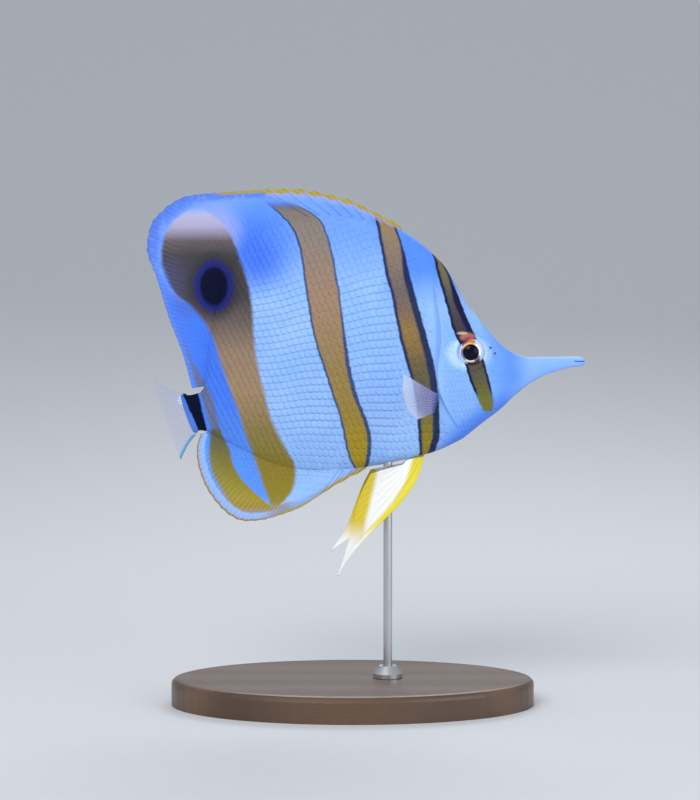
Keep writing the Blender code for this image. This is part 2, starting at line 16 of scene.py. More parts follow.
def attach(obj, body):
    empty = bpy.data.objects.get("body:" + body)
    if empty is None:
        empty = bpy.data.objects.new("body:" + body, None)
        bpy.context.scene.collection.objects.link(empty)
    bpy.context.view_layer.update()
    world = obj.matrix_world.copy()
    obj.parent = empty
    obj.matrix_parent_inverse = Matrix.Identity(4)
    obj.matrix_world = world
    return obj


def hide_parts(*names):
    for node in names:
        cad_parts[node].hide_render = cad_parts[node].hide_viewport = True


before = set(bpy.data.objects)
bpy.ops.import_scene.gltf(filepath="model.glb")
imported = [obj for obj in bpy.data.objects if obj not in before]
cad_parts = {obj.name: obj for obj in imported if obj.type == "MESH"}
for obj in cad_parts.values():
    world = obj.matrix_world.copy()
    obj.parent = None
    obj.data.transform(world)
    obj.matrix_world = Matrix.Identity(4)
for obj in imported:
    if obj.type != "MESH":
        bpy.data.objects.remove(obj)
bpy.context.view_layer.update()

MM = 0.001
SEED = 11
SIDES = (("right", -1), ("left", 1))

# The side outlines that the solids follow, as (x, z).
BACK = [(24.2, 156.7), (17.4, 161.3), (9.3, 164.2), (0.8, 166.3), (-9.4, 167.3), (-19.6, 166.3),
        (-28.8, 163.2), (-36.6, 157.4), (-42.4, 149.3), (-46.5, 138.0), (-48.9, 124.4), (-50.2, 113.6),
        (-50.9, 107.1)]
BELLY = [(37.5, 90.6), (28.2, 86.3), (16.1, 83.2), (6.6, 81.3), (-9.4, 79.4), (-17.9, 79.6),
         (-26.4, 81.6), (-34.2, 85.0), (-41.7, 88.7), (-49.5, 92.8)]
BROW = [(24.2, 156.7), (31.7, 149.1), (38.5, 137.4), (42.6, 132.4), (47.0, 126.8), (51.3, 122.4),
        (55.2, 120.0), (59.6, 118.7)]
THROAT = [(37.5, 90.6), (44.3, 96.1), (50.2, 100.6), (55.2, 105.4), (60.3, 109.5)]
SNOUT_TOP = [(59.6, 118.7), (68.8, 118.9), (74.8, 119.0)]
SNOUT_UNDER = [(60.3, 109.5), (65.4, 112.3), (70.5, 114.0), (74.8, 115.1)]
MOUTH_TIP = (78.8, 117.2)
MOUTH_LINE = 117.15

# Half widths of the body along each stretch, and the half width of its upper and lower edge.
TORSO_HALF = [(0.0, 9.2), (0.15, 9.8), (0.35, 9.1), (0.55, 7.5), (0.75, 5.3), (0.9, 3.7), (1.0, 3.0)]
HEAD_HALF = [(0.0, 9.2), (0.25, 8.7), (0.45, 7.6), (0.65, 5.7), (0.85, 3.4), (1.0, 2.4)]
SNOUT_HALF = [(0.0, 2.4), (0.5, 1.9), (1.0, 1.6)]
BACK_EDGE = [(0.0, 2.4), (0.12, 1.1), (1.0, 1.0)]
BELLY_EDGE = [(0.0, 2.6), (0.28, 2.5), (0.42, 1.1), (1.0, 1.0)]
BROW_EDGE = [(0.0, 2.4), (0.6, 2.0), (1.0, 1.0)]
THROAT_EDGE = [(0.0, 2.6), (0.6, 1.6), (1.0, 0.9)]
SNOUT_UPPER_EDGE = [(0.0, 1.0), (1.0, 0.7)]
SNOUT_LOWER_EDGE = [(0.0, 0.9), (1.0, 0.7)]
TORSO_POWER = [(0.0, 0.62), (0.3, 0.86), (1.0, 0.9)]
HEAD_POWER = [(0.0, 0.62), (0.6, 0.62), (1.0, 0.5)]
SNOUT_POWER = [(0.0, 0.5), (1.0, 0.5)]

# The gill cover and cheek.
GILL_SWING = 5.2
GILL_LOW = -0.45
GILL_SPREAD = 0.42
GILL_RISE = 0.7
GILL_SLIT_DEPTH = 0.4
GILL_BELT_AT = -0.15
GILL_BELT_HALF = 0.75
CHEEK_RIDGE_AT = 0.3
CHEEK_RIDGE_RISE = 0.4

# The sideways bend of the rear.
BEND_START = -15.0
BEND_END = -50.0
BEND_RATE = 0.003
TAIL_TURN_1 = math.radians(62.0)
TAIL_TURN_2 = math.radians(72.0)
TAIL_SINK = math.radians(8.0)
TAIL_LEAN = math.radians(13.0)
PEDUNCLE_LENGTH = 7.5
CAUDAL_LENGTH = 24.0
CAUDAL_SPREAD = 2.1
CAUDAL_FLARE = 1.1

# How deep the skin lies in the solids, to leave room for the scales.
COAT_DEPTH = 0.22

# Eyes and nostrils.
EYE_X = 39.7
EYE_Z = 120.5
EYE_RADIUS = 4.7
EYE_DEPTH = 3.1
EYE_SUNK = 1.9
PUPIL_RADIUS = 2.72
IRIS_RING = 3.35
ORBIT_RISE = 0.28
SOCKET_DEPTH = 2.4
ORBIT_GROOVE = 0.18
NOSTRILS = [(46.6, 121.9), (48.0, 120.0)]
NOSTRIL_RADIUS = 0.6
NOSTRIL_RIM = 0.18
NOSTRIL_DEPTH = 0.7
MOUTH_DEPTH = 0.5
LIP_RISE = 0.12

# Fins: the shares of the back or belly they grow from, and their outer margins.
FIN_ROOT_DEPTH = 1.6
SPINY_DORSAL_ROOT = (0.055, 0.355)
SPINY_DORSAL_TIPS = [(15.8, 163.6), (11.3, 165.8), (-0.9, 171.8), (-14.5, 175.1), (-23.0, 175.7),
                     (-32.0, 175.2)]
SOFT_DORSAL_ROOT = (0.352, 0.985)
SOFT_DORSAL_TIPS = [(-31.8, 175.2), (-44.4, 174.5), (-55.3, 173.6), (-60.2, 171.9), (-64.3, 169.1),
                    (-68.9, 163.9), (-70.4, 154.7), (-67.1, 145.5), (-62.9, 131.9), (-58.2, 119.7),
                    (-54.9, 107.8)]
SPINY_ANAL_ROOT = (0.36, 0.47)
SPINY_ANAL_TIPS = [(4.2, 80.2), (-4.7, 75.5), (-11.0, 71.6)]
SOFT_ANAL_ROOT = (0.466, 0.985)
SOFT_ANAL_TIPS = [(-10.8, 71.8), (-17.9, 67.3), (-26.8, 64.0), (-32.7, 62.7), (-38.2, 62.7),
                  (-42.7, 64.9), (-46.8, 69.0), (-50.5, 74.6), (-52.9, 81.5), (-53.3, 87.7),
                  (-51.9, 92.2)]
DORSAL_SPINES = 9
DORSAL_RAYS = 29
ANAL_SPINES = 3
ANAL_RAYS = 20
CAUDAL_RAYS = 17
PECTORAL_RAYS = 14
PELVIC_RAYS = 6
RAY_COLUMNS = 8
NOTCH_FRONT = 0.2
NOTCH_REAR = 0.05
PELVIC_ROOT = [(24.2, 83.9), (18.6, 82.6)]
PELVIC_RIGHT_TIPS = [(-5.0, 44.7), (-1.6, 55.6), (-0.2, 61.5), (1.3, 67.8), (3.3, 73.8), (6.2, 79.6)]
PELVIC_LEFT_TIPS = [(-7.6, 51.5), (-2.4, 59.0), (-0.4, 64.2), (1.5, 69.4), (3.5, 74.5), (6.2, 79.6)]
PELVIC_RIGHT_BOW = (33.0, 0.65)
PELVIC_LEFT_BOW = (9.0, 1.9)
PELVIC_BOW_FADE = 0.3
PELVIC_ROOT_SIDE = 1.35
PELVIC_TIP_SIDE = 7.0
PECTORAL_ROOT = [(28.7, 106.4), (27.2, 100.3)]
PECTORAL_TIPS = [(16.6, 114.2), (16.4, 107.5), (18.0, 102.0), (21.3, 98.6)]
PECTORAL_OUT = [23.0, 22.0, 18.0, 12.5]
PECTORAL_FIRST_OUT = 8.0

# Scales: pitch along and across the rows, and the shape of one scale.
BODY_PITCH = (2.0, 2.55)
HEAD_PITCH = (1.35, 1.5)
FIN_PITCH = (1.55, 1.75)
SCALE_LIFT = 0.06
SCALE_THICK = 0.07
SCALE_SPAN = (0.98, 0.56)
SCALE_JITTER = 0.08
ROOT_SUNK = 0.04
EDGE_DROP = 0.4
ROW_TILT = math.tan(math.radians(8.0))
ROW_FAN = 0.0042
ROW_MIDDLE = 122.0
PATCH = 0.003
FIN_SCALES_TO = 0.52

# Colours, as linear red, green and blue.
# Painted light: the body's pale blue is partly the fish's own bluish white and partly a painted blue cast of
# the light.
PALE = (0.27, 0.485, 0.935)
PALE_HIGH = (0.35, 0.57, 0.955)
# The next is the blue of the painted shade over the back, brow and throat, and in the shade oval.
SHADE_BLUE = (0.085, 0.25, 0.93)
DEEP_SKY = (0.04, 0.135, 0.82)
GLOW = (0.60, 0.80, 0.97)
NAVY = (0.004, 0.005, 0.045)
BLACK = (0.0004, 0.0022, 0.022)
INDIGO = (0.011, 0.019, 0.175)
GOLD = (0.42, 0.33, 0.03)
WHITE = (0.93, 0.92, 0.88)
LIT_SKY = (0.085, 0.27, 0.86)
LATE_SKY = (0.04, 0.17, 0.85)
CHEEK_BLUE = (0.19, 0.42, 0.92)
ROW_SHADE_BLUE = (0.11, 0.22, 0.60)
STRIPE_GREY = (0.14, 0.15, 0.20)
PATCH_LEFT = (0.060, 0.060, 0.16)
CREST_PALE = (0.45, 0.66, 0.97)
MOUTH_LINE_SHADE = (0.05, 0.08, 0.25)
RAY_PALE = (0.85, 0.88, 0.97)
JOINT_DARK = (0.25, 0.25, 0.45)

# Markings: the rear and front edges of each band as (z, x), low to high.
EYE_BAND = ([(99.5, 45.0), (103.0, 42.9), (109.1, 40.1), (115.9, 37.8), (122.7, 36.3), (126.0, 34.4),
             (135.5, 31.7), (146.2, 28.7), (155.0, 26.6)],
            [(99.5, 46.9), (103.4, 47.7), (107.4, 47.0), (115.9, 44.6), (123.1, 42.4), (128.2, 40.2),
             (134.6, 37.5), (142.5, 34.4), (149.6, 31.2), (155.0, 27.6)])
GILL_BAND = ([(84.1, 22.7), (93.2, 22.2), (107.8, 20.5), (118.0, 17.7), (127.0, 15.4), (138.2, 13.2),
              (146.5, 11.2), (156.4, 9.3), (164.7, 7.8)],
             [(85.8, 27.8), (93.2, 29.5), (101.7, 29.2), (113.9, 27.8), (123.1, 25.6), (133.6, 22.7),
              (143.8, 19.9), (155.1, 17.1), (164.2, 14.3)])
FLANK_BAND = ([(80.0, 1.0), (83.0, -0.6), (98.6, -4.5), (113.9, -9.4), (126.8, -13.3), (140.8, -15.7),
               (150.3, -17.1), (157.4, -18.6), (163.2, -21.3), (168.0, -26.0), (172.0, -31.0)],
              [(81.6, 5.5), (88.7, 6.4), (93.7, 5.9), (107.8, 1.0), (126.8, -2.6), (145.5, -5.2),
               (159.8, -8.5), (165.5, -11.4), (169.0, -16.5), (172.0, -23.0)])
REAR_BAND = ([(68.0, -28.2), (71.1, -29.0), (76.5, -31.0), (84.7, -33.6), (93.8, -36.8), (102.3, -39.5),
              (109.6, -42.3), (116.5, -44.6), (127.8, -48.9), (132.0, -51.6), (136.0, -55.0),
              (139.5, -59.6), (146.0, -64.0), (153.0, -65.4), (160.0, -64.2), (165.0, -61.0), (169.0, -55.5)],
             [(67.0, -26.0), (70.4, -22.6), (74.1, -20.1), (80.9, -19.4), (86.9, -22.3), (95.9, -26.8),
              (107.4, -30.0), (117.3, -32.2), (124.8, -33.2), (137.4, -34.2), (145.0, -35.8),
              (152.0, -38.3), (158.0, -40.5), (164.0, -44.5), (169.0, -51.0)])
MARGIN_STRIPE = ([(92.5, -47.2), (97.2, -48.9), (105.1, -51.7), (112.9, -54.9), (121.0, -57.6),
                  (131.9, -59.7)],
                 [(92.5, -44.4), (96.9, -45.8), (105.1, -47.8), (112.9, -52.3), (121.0, -56.0),
                  (131.9, -58.7)])
ANAL_PATCH = ([(67.0, -39.7), (73.1, -44.4), (79.9, -48.2), (87.0, -48.9), (93.2, -48.5)],
              [(68.3, -28.6), (73.1, -34.2), (79.9, -39.9), (87.0, -42.1), (93.2, -45.1)])
TAIL_BAR = ([(92.5, -52.6), (95.0, -53.3), (100.0, -55.6), (107.0, -59.0)],
            [(92.5, -49.6), (95.0, -50.1), (100.0, -51.2), (107.0, -52.9)])
PELVIC_EDGES = ([(60.0, 7.8), (64.6, 12.3), (70.5, 17.1), (77.9, 21.4), (83.3, 23.2)],
                [(60.0, -0.2), (65.6, 0.8), (70.5, 2.7), (75.3, 5.1), (79.6, 6.3)])

# Soft oval marks: middle and size in x and z, how soft and how strong they are, and their colour.
EYESPOT = (-47.2, 142.6)
EYESPOT_HALO = (EYESPOT, (8.8, 11.2), 0.22, 0.75, (0.032, 0.030, 0.052))
EYESPOT_RING = (EYESPOT, (6.8, 8.7), 0.14, 0.95, INDIGO)
EYESPOT_BLACK = (EYESPOT, (4.8, 6.6), 0.13, 1.0, BLACK)
SHADE = ((-31.5, 157.5), (12.0, 13.5), 0.6, 1.0, SHADE_BLUE)
DEEP_SHADE = ((-32.5, 153.0), (6.0, 8.0), 0.9, 0.7, DEEP_SKY)
EYE_GLOW = ((EYE_X - 0.9, EYE_Z - 0.4), (7.2, 5.4), 0.25, 0.7, GLOW)
LEFT_SHADE = ((-58.0, 138.5), (6.5, 7.0), 0.6, 0.7, (0.075, 0.14, 0.55))
VEIL = ((-47.5, 161.0), (8.5, 8.0), 0.55, 0.75, (0.36, 0.39, 0.76))
EYELID = ((38.7, 125.6), (2.5, 1.5), 0.3, 0.9, (0.48, 0.15, 0.10))
EYELID_SHINE = ((36.8, 126.9), (1.7, 0.5), 0.4, 0.85, (0.60, 0.46, 0.33))
# Painted shade in the nostril pits.
NOSTRIL_SHADE = [(spot, (0.42, 0.42), 0.4, 0.85, (0.03, 0.05, 0.16)) for spot in NOSTRILS]
TAIL_WHITE = ((-59.2, 103.2), (1.3, 2.0), 0.45)

# Soft changes over the body: the x or z where each begins, and where it is complete.
# NAPE_Z, SHOULDER, BROW and THROAT place the painted shade that deepens the blue toward the back, over the
# brow and along the throat.
NAPE_Z = (138.0, 162.0)
SHOULDER_X, SHOULDER_Z = (6.0, 18.0), (134.0, 150.0)
BROW_X, BROW_END_X, BROW_Z = (41.0, 50.0), (53.0, 62.0), (103.0, 113.0)
CHEEK_X, CHEEK_END_X, CHEEK_END_Z = (26.0, 34.0), (48.0, 54.0), (126.0, 136.0)
THROAT_X, THROAT_END_X = (24.0, 36.0), (50.0, 59.0)
THROAT_FOOT, THROAT_SLOPE, THROAT_RISE = 60.6, 0.8, (2.0, 11.0)
SEAM_END_X = (12.0, 19.0)
FINE_X, FINE_Z, FINE_END_Z = (-38.0, -33.0), (88.0, 96.0), (142.0, 150.0)
BEHIND_Z, BEHIND_END_Z, BEHIND_DEEP_Z = (64.0, 72.0), (136.0, 142.0), (84.0, 108.0)
STRIPE_FADE_Z = (108.0, 130.0)
LEFT_END_X, LEFT_Z, LEFT_END_Z = (-62.0, -52.0), (134.0, 140.0), (148.0, 156.0)
FLANK_WIDE_Z = (114.0, 136.0)
GILL_WIDE_Z = (144.0, 158.0)
EYE_DARK_Z, EYE_BROAD_Z, EYE_BROAD_END_Z = (102.0, 108.0), (116.0, 122.0), (137.0, 147.0)
CREST_Y, CREST_X, CREST_Z = (0.7, 1.5), (26.0, 29.0), (117.0, 118.5)
LIPS_X, LIPS_APART = (75.0, 75.5), (0.08, 0.2)

# What fills each band, from low to high, as (z, colour).
EYE_FILL = [(100, (0.20, 0.20, 0.03)), (106, (0.16, 0.16, 0.035)), (112, (0.10, 0.095, 0.05)),
            (117, (0.09, 0.07, 0.06)), (126, (0.045, 0.036, 0.05)), (134, (0.06, 0.052, 0.065)),
            (141, (0.10, 0.092, 0.075)), (148, (0.16, 0.145, 0.06)), (155, (0.20, 0.17, 0.05))]
GILL_FILL = [(84, (0.36, 0.28, 0.015)), (92, (0.28, 0.22, 0.022)), (99, (0.20, 0.165, 0.045)),
             (110, (0.13, 0.11, 0.06)), (117, (0.15, 0.12, 0.055)), (122, (0.25, 0.15, 0.05)),
             (128, (0.28, 0.175, 0.06)), (134, (0.20, 0.14, 0.09)), (141, (0.155, 0.12, 0.115)),
             (150, (0.21, 0.16, 0.13)), (159, (0.26, 0.19, 0.12)), (166, (0.32, 0.23, 0.09))]
FLANK_FILL = [(80, (0.42, 0.30, 0.018)), (90, (0.37, 0.26, 0.02)), (100, (0.33, 0.235, 0.045)),
              (115, (0.31, 0.21, 0.08)), (127, (0.33, 0.215, 0.115)), (138, (0.34, 0.22, 0.145)),
              (150, (0.28, 0.20, 0.155)), (160, (0.225, 0.19, 0.165)), (168, (0.21, 0.18, 0.15))]
REAR_FILL = [(68, (0.28, 0.22, 0.02)), (84, (0.25, 0.195, 0.03)), (94, (0.255, 0.20, 0.07)),
             (107, (0.35, 0.235, 0.135)), (120, (0.30, 0.21, 0.145)), (130, (0.15, 0.115, 0.10)),
             (139, (0.055, 0.048, 0.052)), (153, (0.055, 0.05, 0.05)), (158, (0.12, 0.10, 0.105)),
             (163, (0.40, 0.38, 0.55)), (168, (0.46, 0.46, 0.70))]
ANAL_FILL = [(64, (0.31, 0.19, 0.025)), (70, (0.35, 0.28, 0.016)), (80, (0.23, 0.20, 0.028)),
             (90, (0.13, 0.13, 0.06))]

# The height range that the bands' curves cover, and the range of x they answer with.
CURVE_LOW, CURVE_TALL = 60.0, 120.0
CURVE_LEFT, CURVE_WIDE = -80.0, 170.0

# The camera's frame: one pixel of the photo's 700 by 800 is this many millimetres on the fish.
PIXEL = 0.34
FRAME_TALL = 800
CAMERA_FAR = 0.80
CAMERA_RISE = math.radians(3.0)
CAMERA_AIM = (-0.9, 0.0, 104.0)
SENSOR = 36.0

# The studio, in metres: lights as (name, place, size, power, tint), and the floor with its backdrop.
LIGHT_AIM = (0.0, 0.0, 0.11)
LIGHTS = (("key", (-0.35, -0.75, 0.75), (0.6, 0.5), 6.2, (1.0, 0.99, 0.98)),
          ("fill", (0.75, -0.65, 0.30), (0.7, 0.6), 2.8, (0.95, 0.97, 1.0)),
          ("rim", (0.1, 0.65, 0.65), (0.6, 0.3), 2.5, (1.0, 1.0, 1.0)))
SKY_LIGHT = (0.88, 0.92, 0.98, 1.0)
SKY_STRENGTH = 0.6
FLOOR_FRONT, FLOOR_BACK = -1.6, 0.5
FLOOR_HALF = 2.6
CURVE_RADIUS = 1.6
BACKDROP_TOP = 3.2


# Shapes shared with the solids.

def read(pairs, share):
    """A smooth value through a few (share, value) pairs."""
    last = len(pairs) - 1
    k = 0
    while k < last - 1 and share > pairs[k + 1][0]:
        k += 1
    (x0, y0), (x1, y1) = pairs[k], pairs[k + 1]
    before = pairs[k - 1] if k > 0 else pairs[k]
    after = pairs[k + 2] if k + 2 <= last else pairs[k + 1]
    slope_0 = (y1 - before[1]) / (x1 - before[0])
    slope_1 = (after[1] - y0) / (after[0] - x0)
    width = x1 - x0
    t = min(max((share - x0) / width, 0.0), 1.0)
    rise = y0 * (1 + 2 * t) * (1 - t) ** 2 + y1 * t * t * (3 - 2 * t)
    lean = slope_0 * width * t * (1 - t) ** 2 + slope_1 * width * t * t * (t - 1)
    return rise + lean


def bell(x, middle, spread):
    return np.exp(-((x - middle) / spread) ** 2)


def ease(x, low, high):
    t = np.clip((x - low) / (high - low), 0.0, 1.0)
    return t * t * (3 - 2 * t)


class Outline:
    """A smooth curve through a few points, read by the share of its length."""

    STEPS = 10

    def __init__(self, points):
        corners = [Vector(p) for p in points]
        ring = [corners[0] * 2 - corners[1]] + corners + [corners[-1] * 2 - corners[-2]]
        found = []
        for k in range(1, len(ring) - 2):
            a, b, c, d = ring[k - 1:k + 3]
            for step in range(self.STEPS):
                t = step / self.STEPS
                cubic = (b * 3 - a - c * 3 + d) * t ** 3
                square = (a * 2 - b * 5 + c * 4 - d) * t * t
                found.append((b * 2 + (c - a) * t + square + cubic) * 0.5)
        found.append(corners[-1])
        self.points = np.array([tuple(p) for p in found])
        steps = np.linalg.norm(np.diff(self.points, axis=0), axis=1)
        self.shares = np.concatenate([[0.0], np.cumsum(steps)]) / steps.sum()

    def at(self, share):
        return Vector([float(np.interp(share, self.shares, self.points[:, k])) for k in (0, 1)])

    def outward(self, share, side):
        along = self.at(min(share + 0.01, 1.0)) - self.at(max(share - 0.01, 0.0))
        along.normalize()
        return Vector((-along.y, along.x)) * side


class Flank:
    """A stretch of the body between an upper and a lower outline."""

    def __init__(self, upper, lower, half, upper_edge, lower_edge, power, swing=0.0):
        self.upper = Outline(upper)
        self.lower = Outline(lower)
        self.widths = half
        self.upper_edge = upper_edge
        self.lower_edge = lower_edge
        self.power = power
        self.swing = swing

    def point(self, s, w):
        middle = self.lower.at(s).lerp(self.upper.at(s), (w + 1) / 2)
        fade = max(0.0, 1.0 - abs(s) / 0.4) ** 2
        middle.x -= self.swing * fade * float(bell(w, GILL_LOW, GILL_SPREAD)) * (1 - w ** 8)
        return middle

    def half(self, s, w):
        share = (w + 1) / 2
        edge = read(self.lower_edge, s) * (1 - share) + read(self.upper_edge, s) * share
        width = read(self.widths, s)
        return edge + (width - edge) * max(0.0, 1 - w * w) ** read(self.power, s)

    def find(self, x, z):
        s, w, step = 0.5, 0.0, 0.01
        for _ in range(12):
            here = self.point(s, w)
            along = (self.point(s + step, w) - here) / step
            up = (self.point(s, w + step) - here) / step
            off = Vector((x, z)) - here
            area = along.x * up.y - along.y * up.x
            s += (off.x * up.y - off.y * up.x) / area
            w += (along.x * off.y - along.y * off.x) / area
            s = min(max(s, 0.0), 0.98)
            w = min(max(w, -0.98), 0.98)
        return s, w


HEAD = Flank(BROW, THROAT, HEAD_HALF, BROW_EDGE, THROAT_EDGE, HEAD_POWER, GILL_SWING)
TORSO = Flank(BACK, BELLY, TORSO_HALF, BACK_EDGE, BELLY_EDGE, TORSO_POWER, GILL_SWING)
SNOUT = Flank(SNOUT_TOP, SNOUT_UNDER, SNOUT_HALF, SNOUT_UPPER_EDGE, SNOUT_LOWER_EDGE, SNOUT_POWER)


def bend_at(x):
    reach = max(BEND_START - x, 0.0)
    stretch = BEND_START - BEND_END
    if reach <= stretch:
        shift, slope = BEND_RATE * reach ** 2, 2 * BEND_RATE * reach
    else:
        slope = 2 * BEND_RATE * stretch
        shift = BEND_RATE * stretch ** 2 + slope * (reach - stretch)
    return shift, Vector((slope, 1.0, 0.0)).normalized()


def bent(flat):
    shift, across = bend_at(flat.x)
    return Vector((flat.x, shift, flat.y)), across


def tail_at(length):
    """Where the tail's path has come to, and the direction across it there."""
    first_turn = math.atan(2 * BEND_RATE * (BEND_START - BEND_END))
    spot = Vector((0.0, 0.0, 0.0))
    pieces = 24
    step = length / pieces
    turn = first_turn
    for k in range(pieces + 1):
        here = (k + 0.5) * step if k < pieces else length
        if here < PEDUNCLE_LENGTH:
            turn = first_turn + (TAIL_TURN_1 - first_turn) * here / PEDUNCLE_LENGTH
        else:
            turn = TAIL_TURN_1 + (TAIL_TURN_2 - TAIL_TURN_1) * (here - PEDUNCLE_LENGTH) / CAUDAL_LENGTH
        if k < pieces:
            spot += Vector((-math.cos(turn), math.sin(turn), -math.sin(TAIL_SINK))) * step
    return spot, Vector((math.sin(turn), math.cos(turn), 0.0))


def tail_place(length, w, spread):
    foot, across_0 = bent(TORSO.point(1.0, w))
    middle, _ = bent(TORSO.point(1.0, 0.0))
    spot, across = tail_at(length)
    rise = foot - middle
    lean = TAIL_LEAN * min(length / PEDUNCLE_LENGTH, 1.0)
    turned = Vector((rise.x * math.cos(lean) - rise.z * math.sin(lean), rise.y,
                     rise.z * math.cos(lean) + rise.x * math.sin(lean)))
    blend = min(max(length, 0.0) / 1.5, 1.0)
    return middle + spot + turned * spread, across_0.lerp(across, blend).normalized()


def gill_belt(w):
    """1 at the height of the gill cover, 0 towards the back and the belly."""
    return max(0.0, 1 - ((w - GILL_BELT_AT) / GILL_BELT_HALF) ** 4)


def gill_cover(s, w):
    belt = gill_belt(w)
    cover = GILL_RISE * belt * max(0.0, 1 - s / 0.5)
    return cover + CHEEK_RIDGE_RISE * belt * float(bell(s, CHEEK_RIDGE_AT + 0.1 * w, 0.05))


# Meshes.

def add_piece(name, verts, faces, material, maps=None):
    """A mesh object from millimetre points, which rides on the one body."""
    data = bpy.data.meshes.new(name)
    data.from_pydata((np.asarray(verts) * MM).tolist(), [], faces)
    for map_name, corner_uv in (maps or {}).items():
        layer = data.uv_layers.new(name=map_name)
        layer.data.foreach_set("uv", np.asarray(corner_uv, dtype=np.float32).ravel())
    data.validate()
    data.update()
    data.shade_smooth()
    data.materials.append(material)
    piece = bpy.data.objects.new(name, data)
    bpy.context.scene.collection.objects.link(piece)
    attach(piece, "root")
    return piece


def turned_out(verts, faces):
    """The faces of a closed form, wound so that they all look outwards."""
    points = np.asarray(verts)
    bulk = 0.0
    for face in faces:
        a, b, c = points[face[0]], points[face[1]], points[face[2]]
        bulk += np.dot(a, np.cross(b, c))
        if len(face) == 4:
            bulk += np.dot(a, np.cross(c, points[face[3]]))
    return faces if bulk > 0 else [face[::-1] for face in faces]


def corner_values(faces, values):
    """Values of the points, repeated for each corner of each face."""
    order = [k for face in faces for k in face]
    return np.asarray(values)[order]


def grid_normals(grid, closed):
    """Unit directions square to a grid of points; closed says that each row runs round."""
    along = np.gradient(grid, axis=0)
    if closed:
        around = (np.roll(grid, -1, axis=1) - np.roll(grid, 1, axis=1)) / 2
    else:
        around = np.gradient(grid, axis=1)
    found = np.cross(along, around)
    return found / np.maximum(np.linalg.norm(found, axis=2, keepdims=True), 1e-9)


RING_SIDE = 88
HEAD_STATIONS = 96
SNOUT_STATIONS = 34
JAW_STATIONS = 22
TORSO_STATIONS = 150
PEDUNCLE_STATIONS = 22


def round_end(w):
    """Rounds the narrow upper and lower edges of a ring."""
    return max(0.0, 1 - abs(w) ** 40) ** 0.5


def jaw_station(t, w):
    """A point of the snout's end and its half thickness; t runs from 0 to 1 at the lips' tip."""
    rim_top, rim_low = SNOUT.upper.at(1.0), SNOUT.lower.at(1.0)
    x = rim_top.x + (MOUTH_TIP[0] - rim_top.x) * t
    round_off = math.sqrt(max(0.0, 1 - (t * 0.96) ** 4))
    top = MOUTH_TIP[1] + (rim_top.y - MOUTH_TIP[1]) * (0.2 + 0.8 * round_off)
    low = MOUTH_TIP[1] + (rim_low.y - MOUTH_TIP[1]) * (0.2 + 0.8 * round_off)
    lip = 0.24 * float(bell(t, 0.72, 0.2))
    width = (read(SNOUT_HALF, 1.0) + lip) * (0.3 + 0.7 * round_off)
    edge = 0.7 * (0.3 + 0.7 * round_off)
    middle, half = (top + low) / 2, (top - low) / 2
    return Vector((x, middle + half * w)), edge + (width - edge) * max(0.0, 1 - w * w) ** 0.5


def station_list():
    """Each station of the skin from the lips to the tail, as (stretch, share)."""
    stations = [("jaw", 1 - k / JAW_STATIONS) for k in range(JAW_STATIONS)]
    stations += [("snout", 1 - k / SNOUT_STATIONS) for k in range(SNOUT_STATIONS)]
    stations += [("head", 1 - k / HEAD_STATIONS) for k in range(HEAD_STATIONS)]
    stations += [("head", s) for s in (0.007, 0.0035, 0.0012)]
    stations += [("torso", s) for s in (0.0008, 0.0022, 0.0045, 0.009, 0.014)]
    stations += [("torso", 0.02 + 0.98 * k / TORSO_STATIONS) for k in range(TORSO_STATIONS)]
    stations += [("tail", k / PEDUNCLE_STATIONS) for k in range(PEDUNCLE_STATIONS + 1)]
    return stations


def skin_point(stretch, s, w):
    if stretch == "jaw":
        flat, half = jaw_station(s, w)
        return Vector((flat.x, 0.0, flat.y)), Vector((0.0, 1.0, 0.0)), half
    if stretch == "snout":
        point, across = bent(SNOUT.point(s, w))
        return point, across, SNOUT.half(s, w)
    if stretch == "head":
        point, across = bent(HEAD.point(s, w))
        return point, across, HEAD.half(s, w) + gill_cover(s, w)
    if stretch == "torso":
        slit = GILL_SLIT_DEPTH * gill_belt(w) * math.exp(-(s / 0.012) ** 2)
        point, across = bent(TORSO.point(s, w))
        return point, across, TORSO.half(s, w) - slit
    point, across = tail_place(PEDUNCLE_LENGTH * s * 1.04, w, 1 - 0.1 * math.sin(math.pi * min(s, 1.0)))
    full = TORSO.half(1.0, w)
    slim = 0.75 + 0.9 * math.sqrt(max(0.0, 1 - w * w))
    return point, across, full + (slim - full) * s


def make_skin(material):
    """One closed skin from the lips to the tail's root, with its folds as real relief."""
    angles = [math.pi * (k + 0.5) / RING_SIDE for k in range(RING_SIDE)]
    heights = [-math.cos(a) for a in angles]
    rows = [(w, -1) for w in heights] + [(w, 1) for w in reversed(heights)]
    grid = []
    for stretch, s in station_list():
        ring = []
        for w, side in rows:
            point, across, half = skin_point(stretch, s, w)
            ring.append(tuple(point + across * (side * half * round_end(w))))
        grid.append(ring)
    grid = np.array(grid)
    normals = grid_normals(grid, closed=True)
    flank = RING_SIDE // 2
    if normals[len(grid) // 2, flank, 1] > 0:
        normals = -normals
    grid = grid + normals * skin_relief(grid)[..., None]
    count, around = grid.shape[:2]
    verts = grid.reshape(-1, 3).tolist()
    faces = []
    for i in range(count - 1):
        for j in range(around):
            k = (j + 1) % around
            faces.append((i * around + j, (i + 1) * around + j, (i + 1) * around + k, i * around + k))
    tip = len(verts)
    verts.append((grid[0].mean(axis=0) + np.array([0.15, 0.0, 0.0])).tolist())
    end = len(verts)
    verts.append(grid[-1].mean(axis=0).tolist())
    for j in range(around):
        k = (j + 1) % around
        faces.append((tip, j, k))
        faces.append((end, (count - 1) * around + k, (count - 1) * around + j))
    faces = turned_out(verts, faces)
    shares = [((i + 0.5) / count, (j + 0.5) / around) for i in range(count) for j in range(around)]
    shares += [(0.0, 0.5), (1.0, 0.5)]
    skin = add_piece("fish_skin", verts, faces, material,
                     {"OFBake": skin_map(faces, shares, around)})
    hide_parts("head", "snout", "upper_jaw", "lower_jaw", "torso", "tail_peduncle")
    return skin, verts, faces, shares


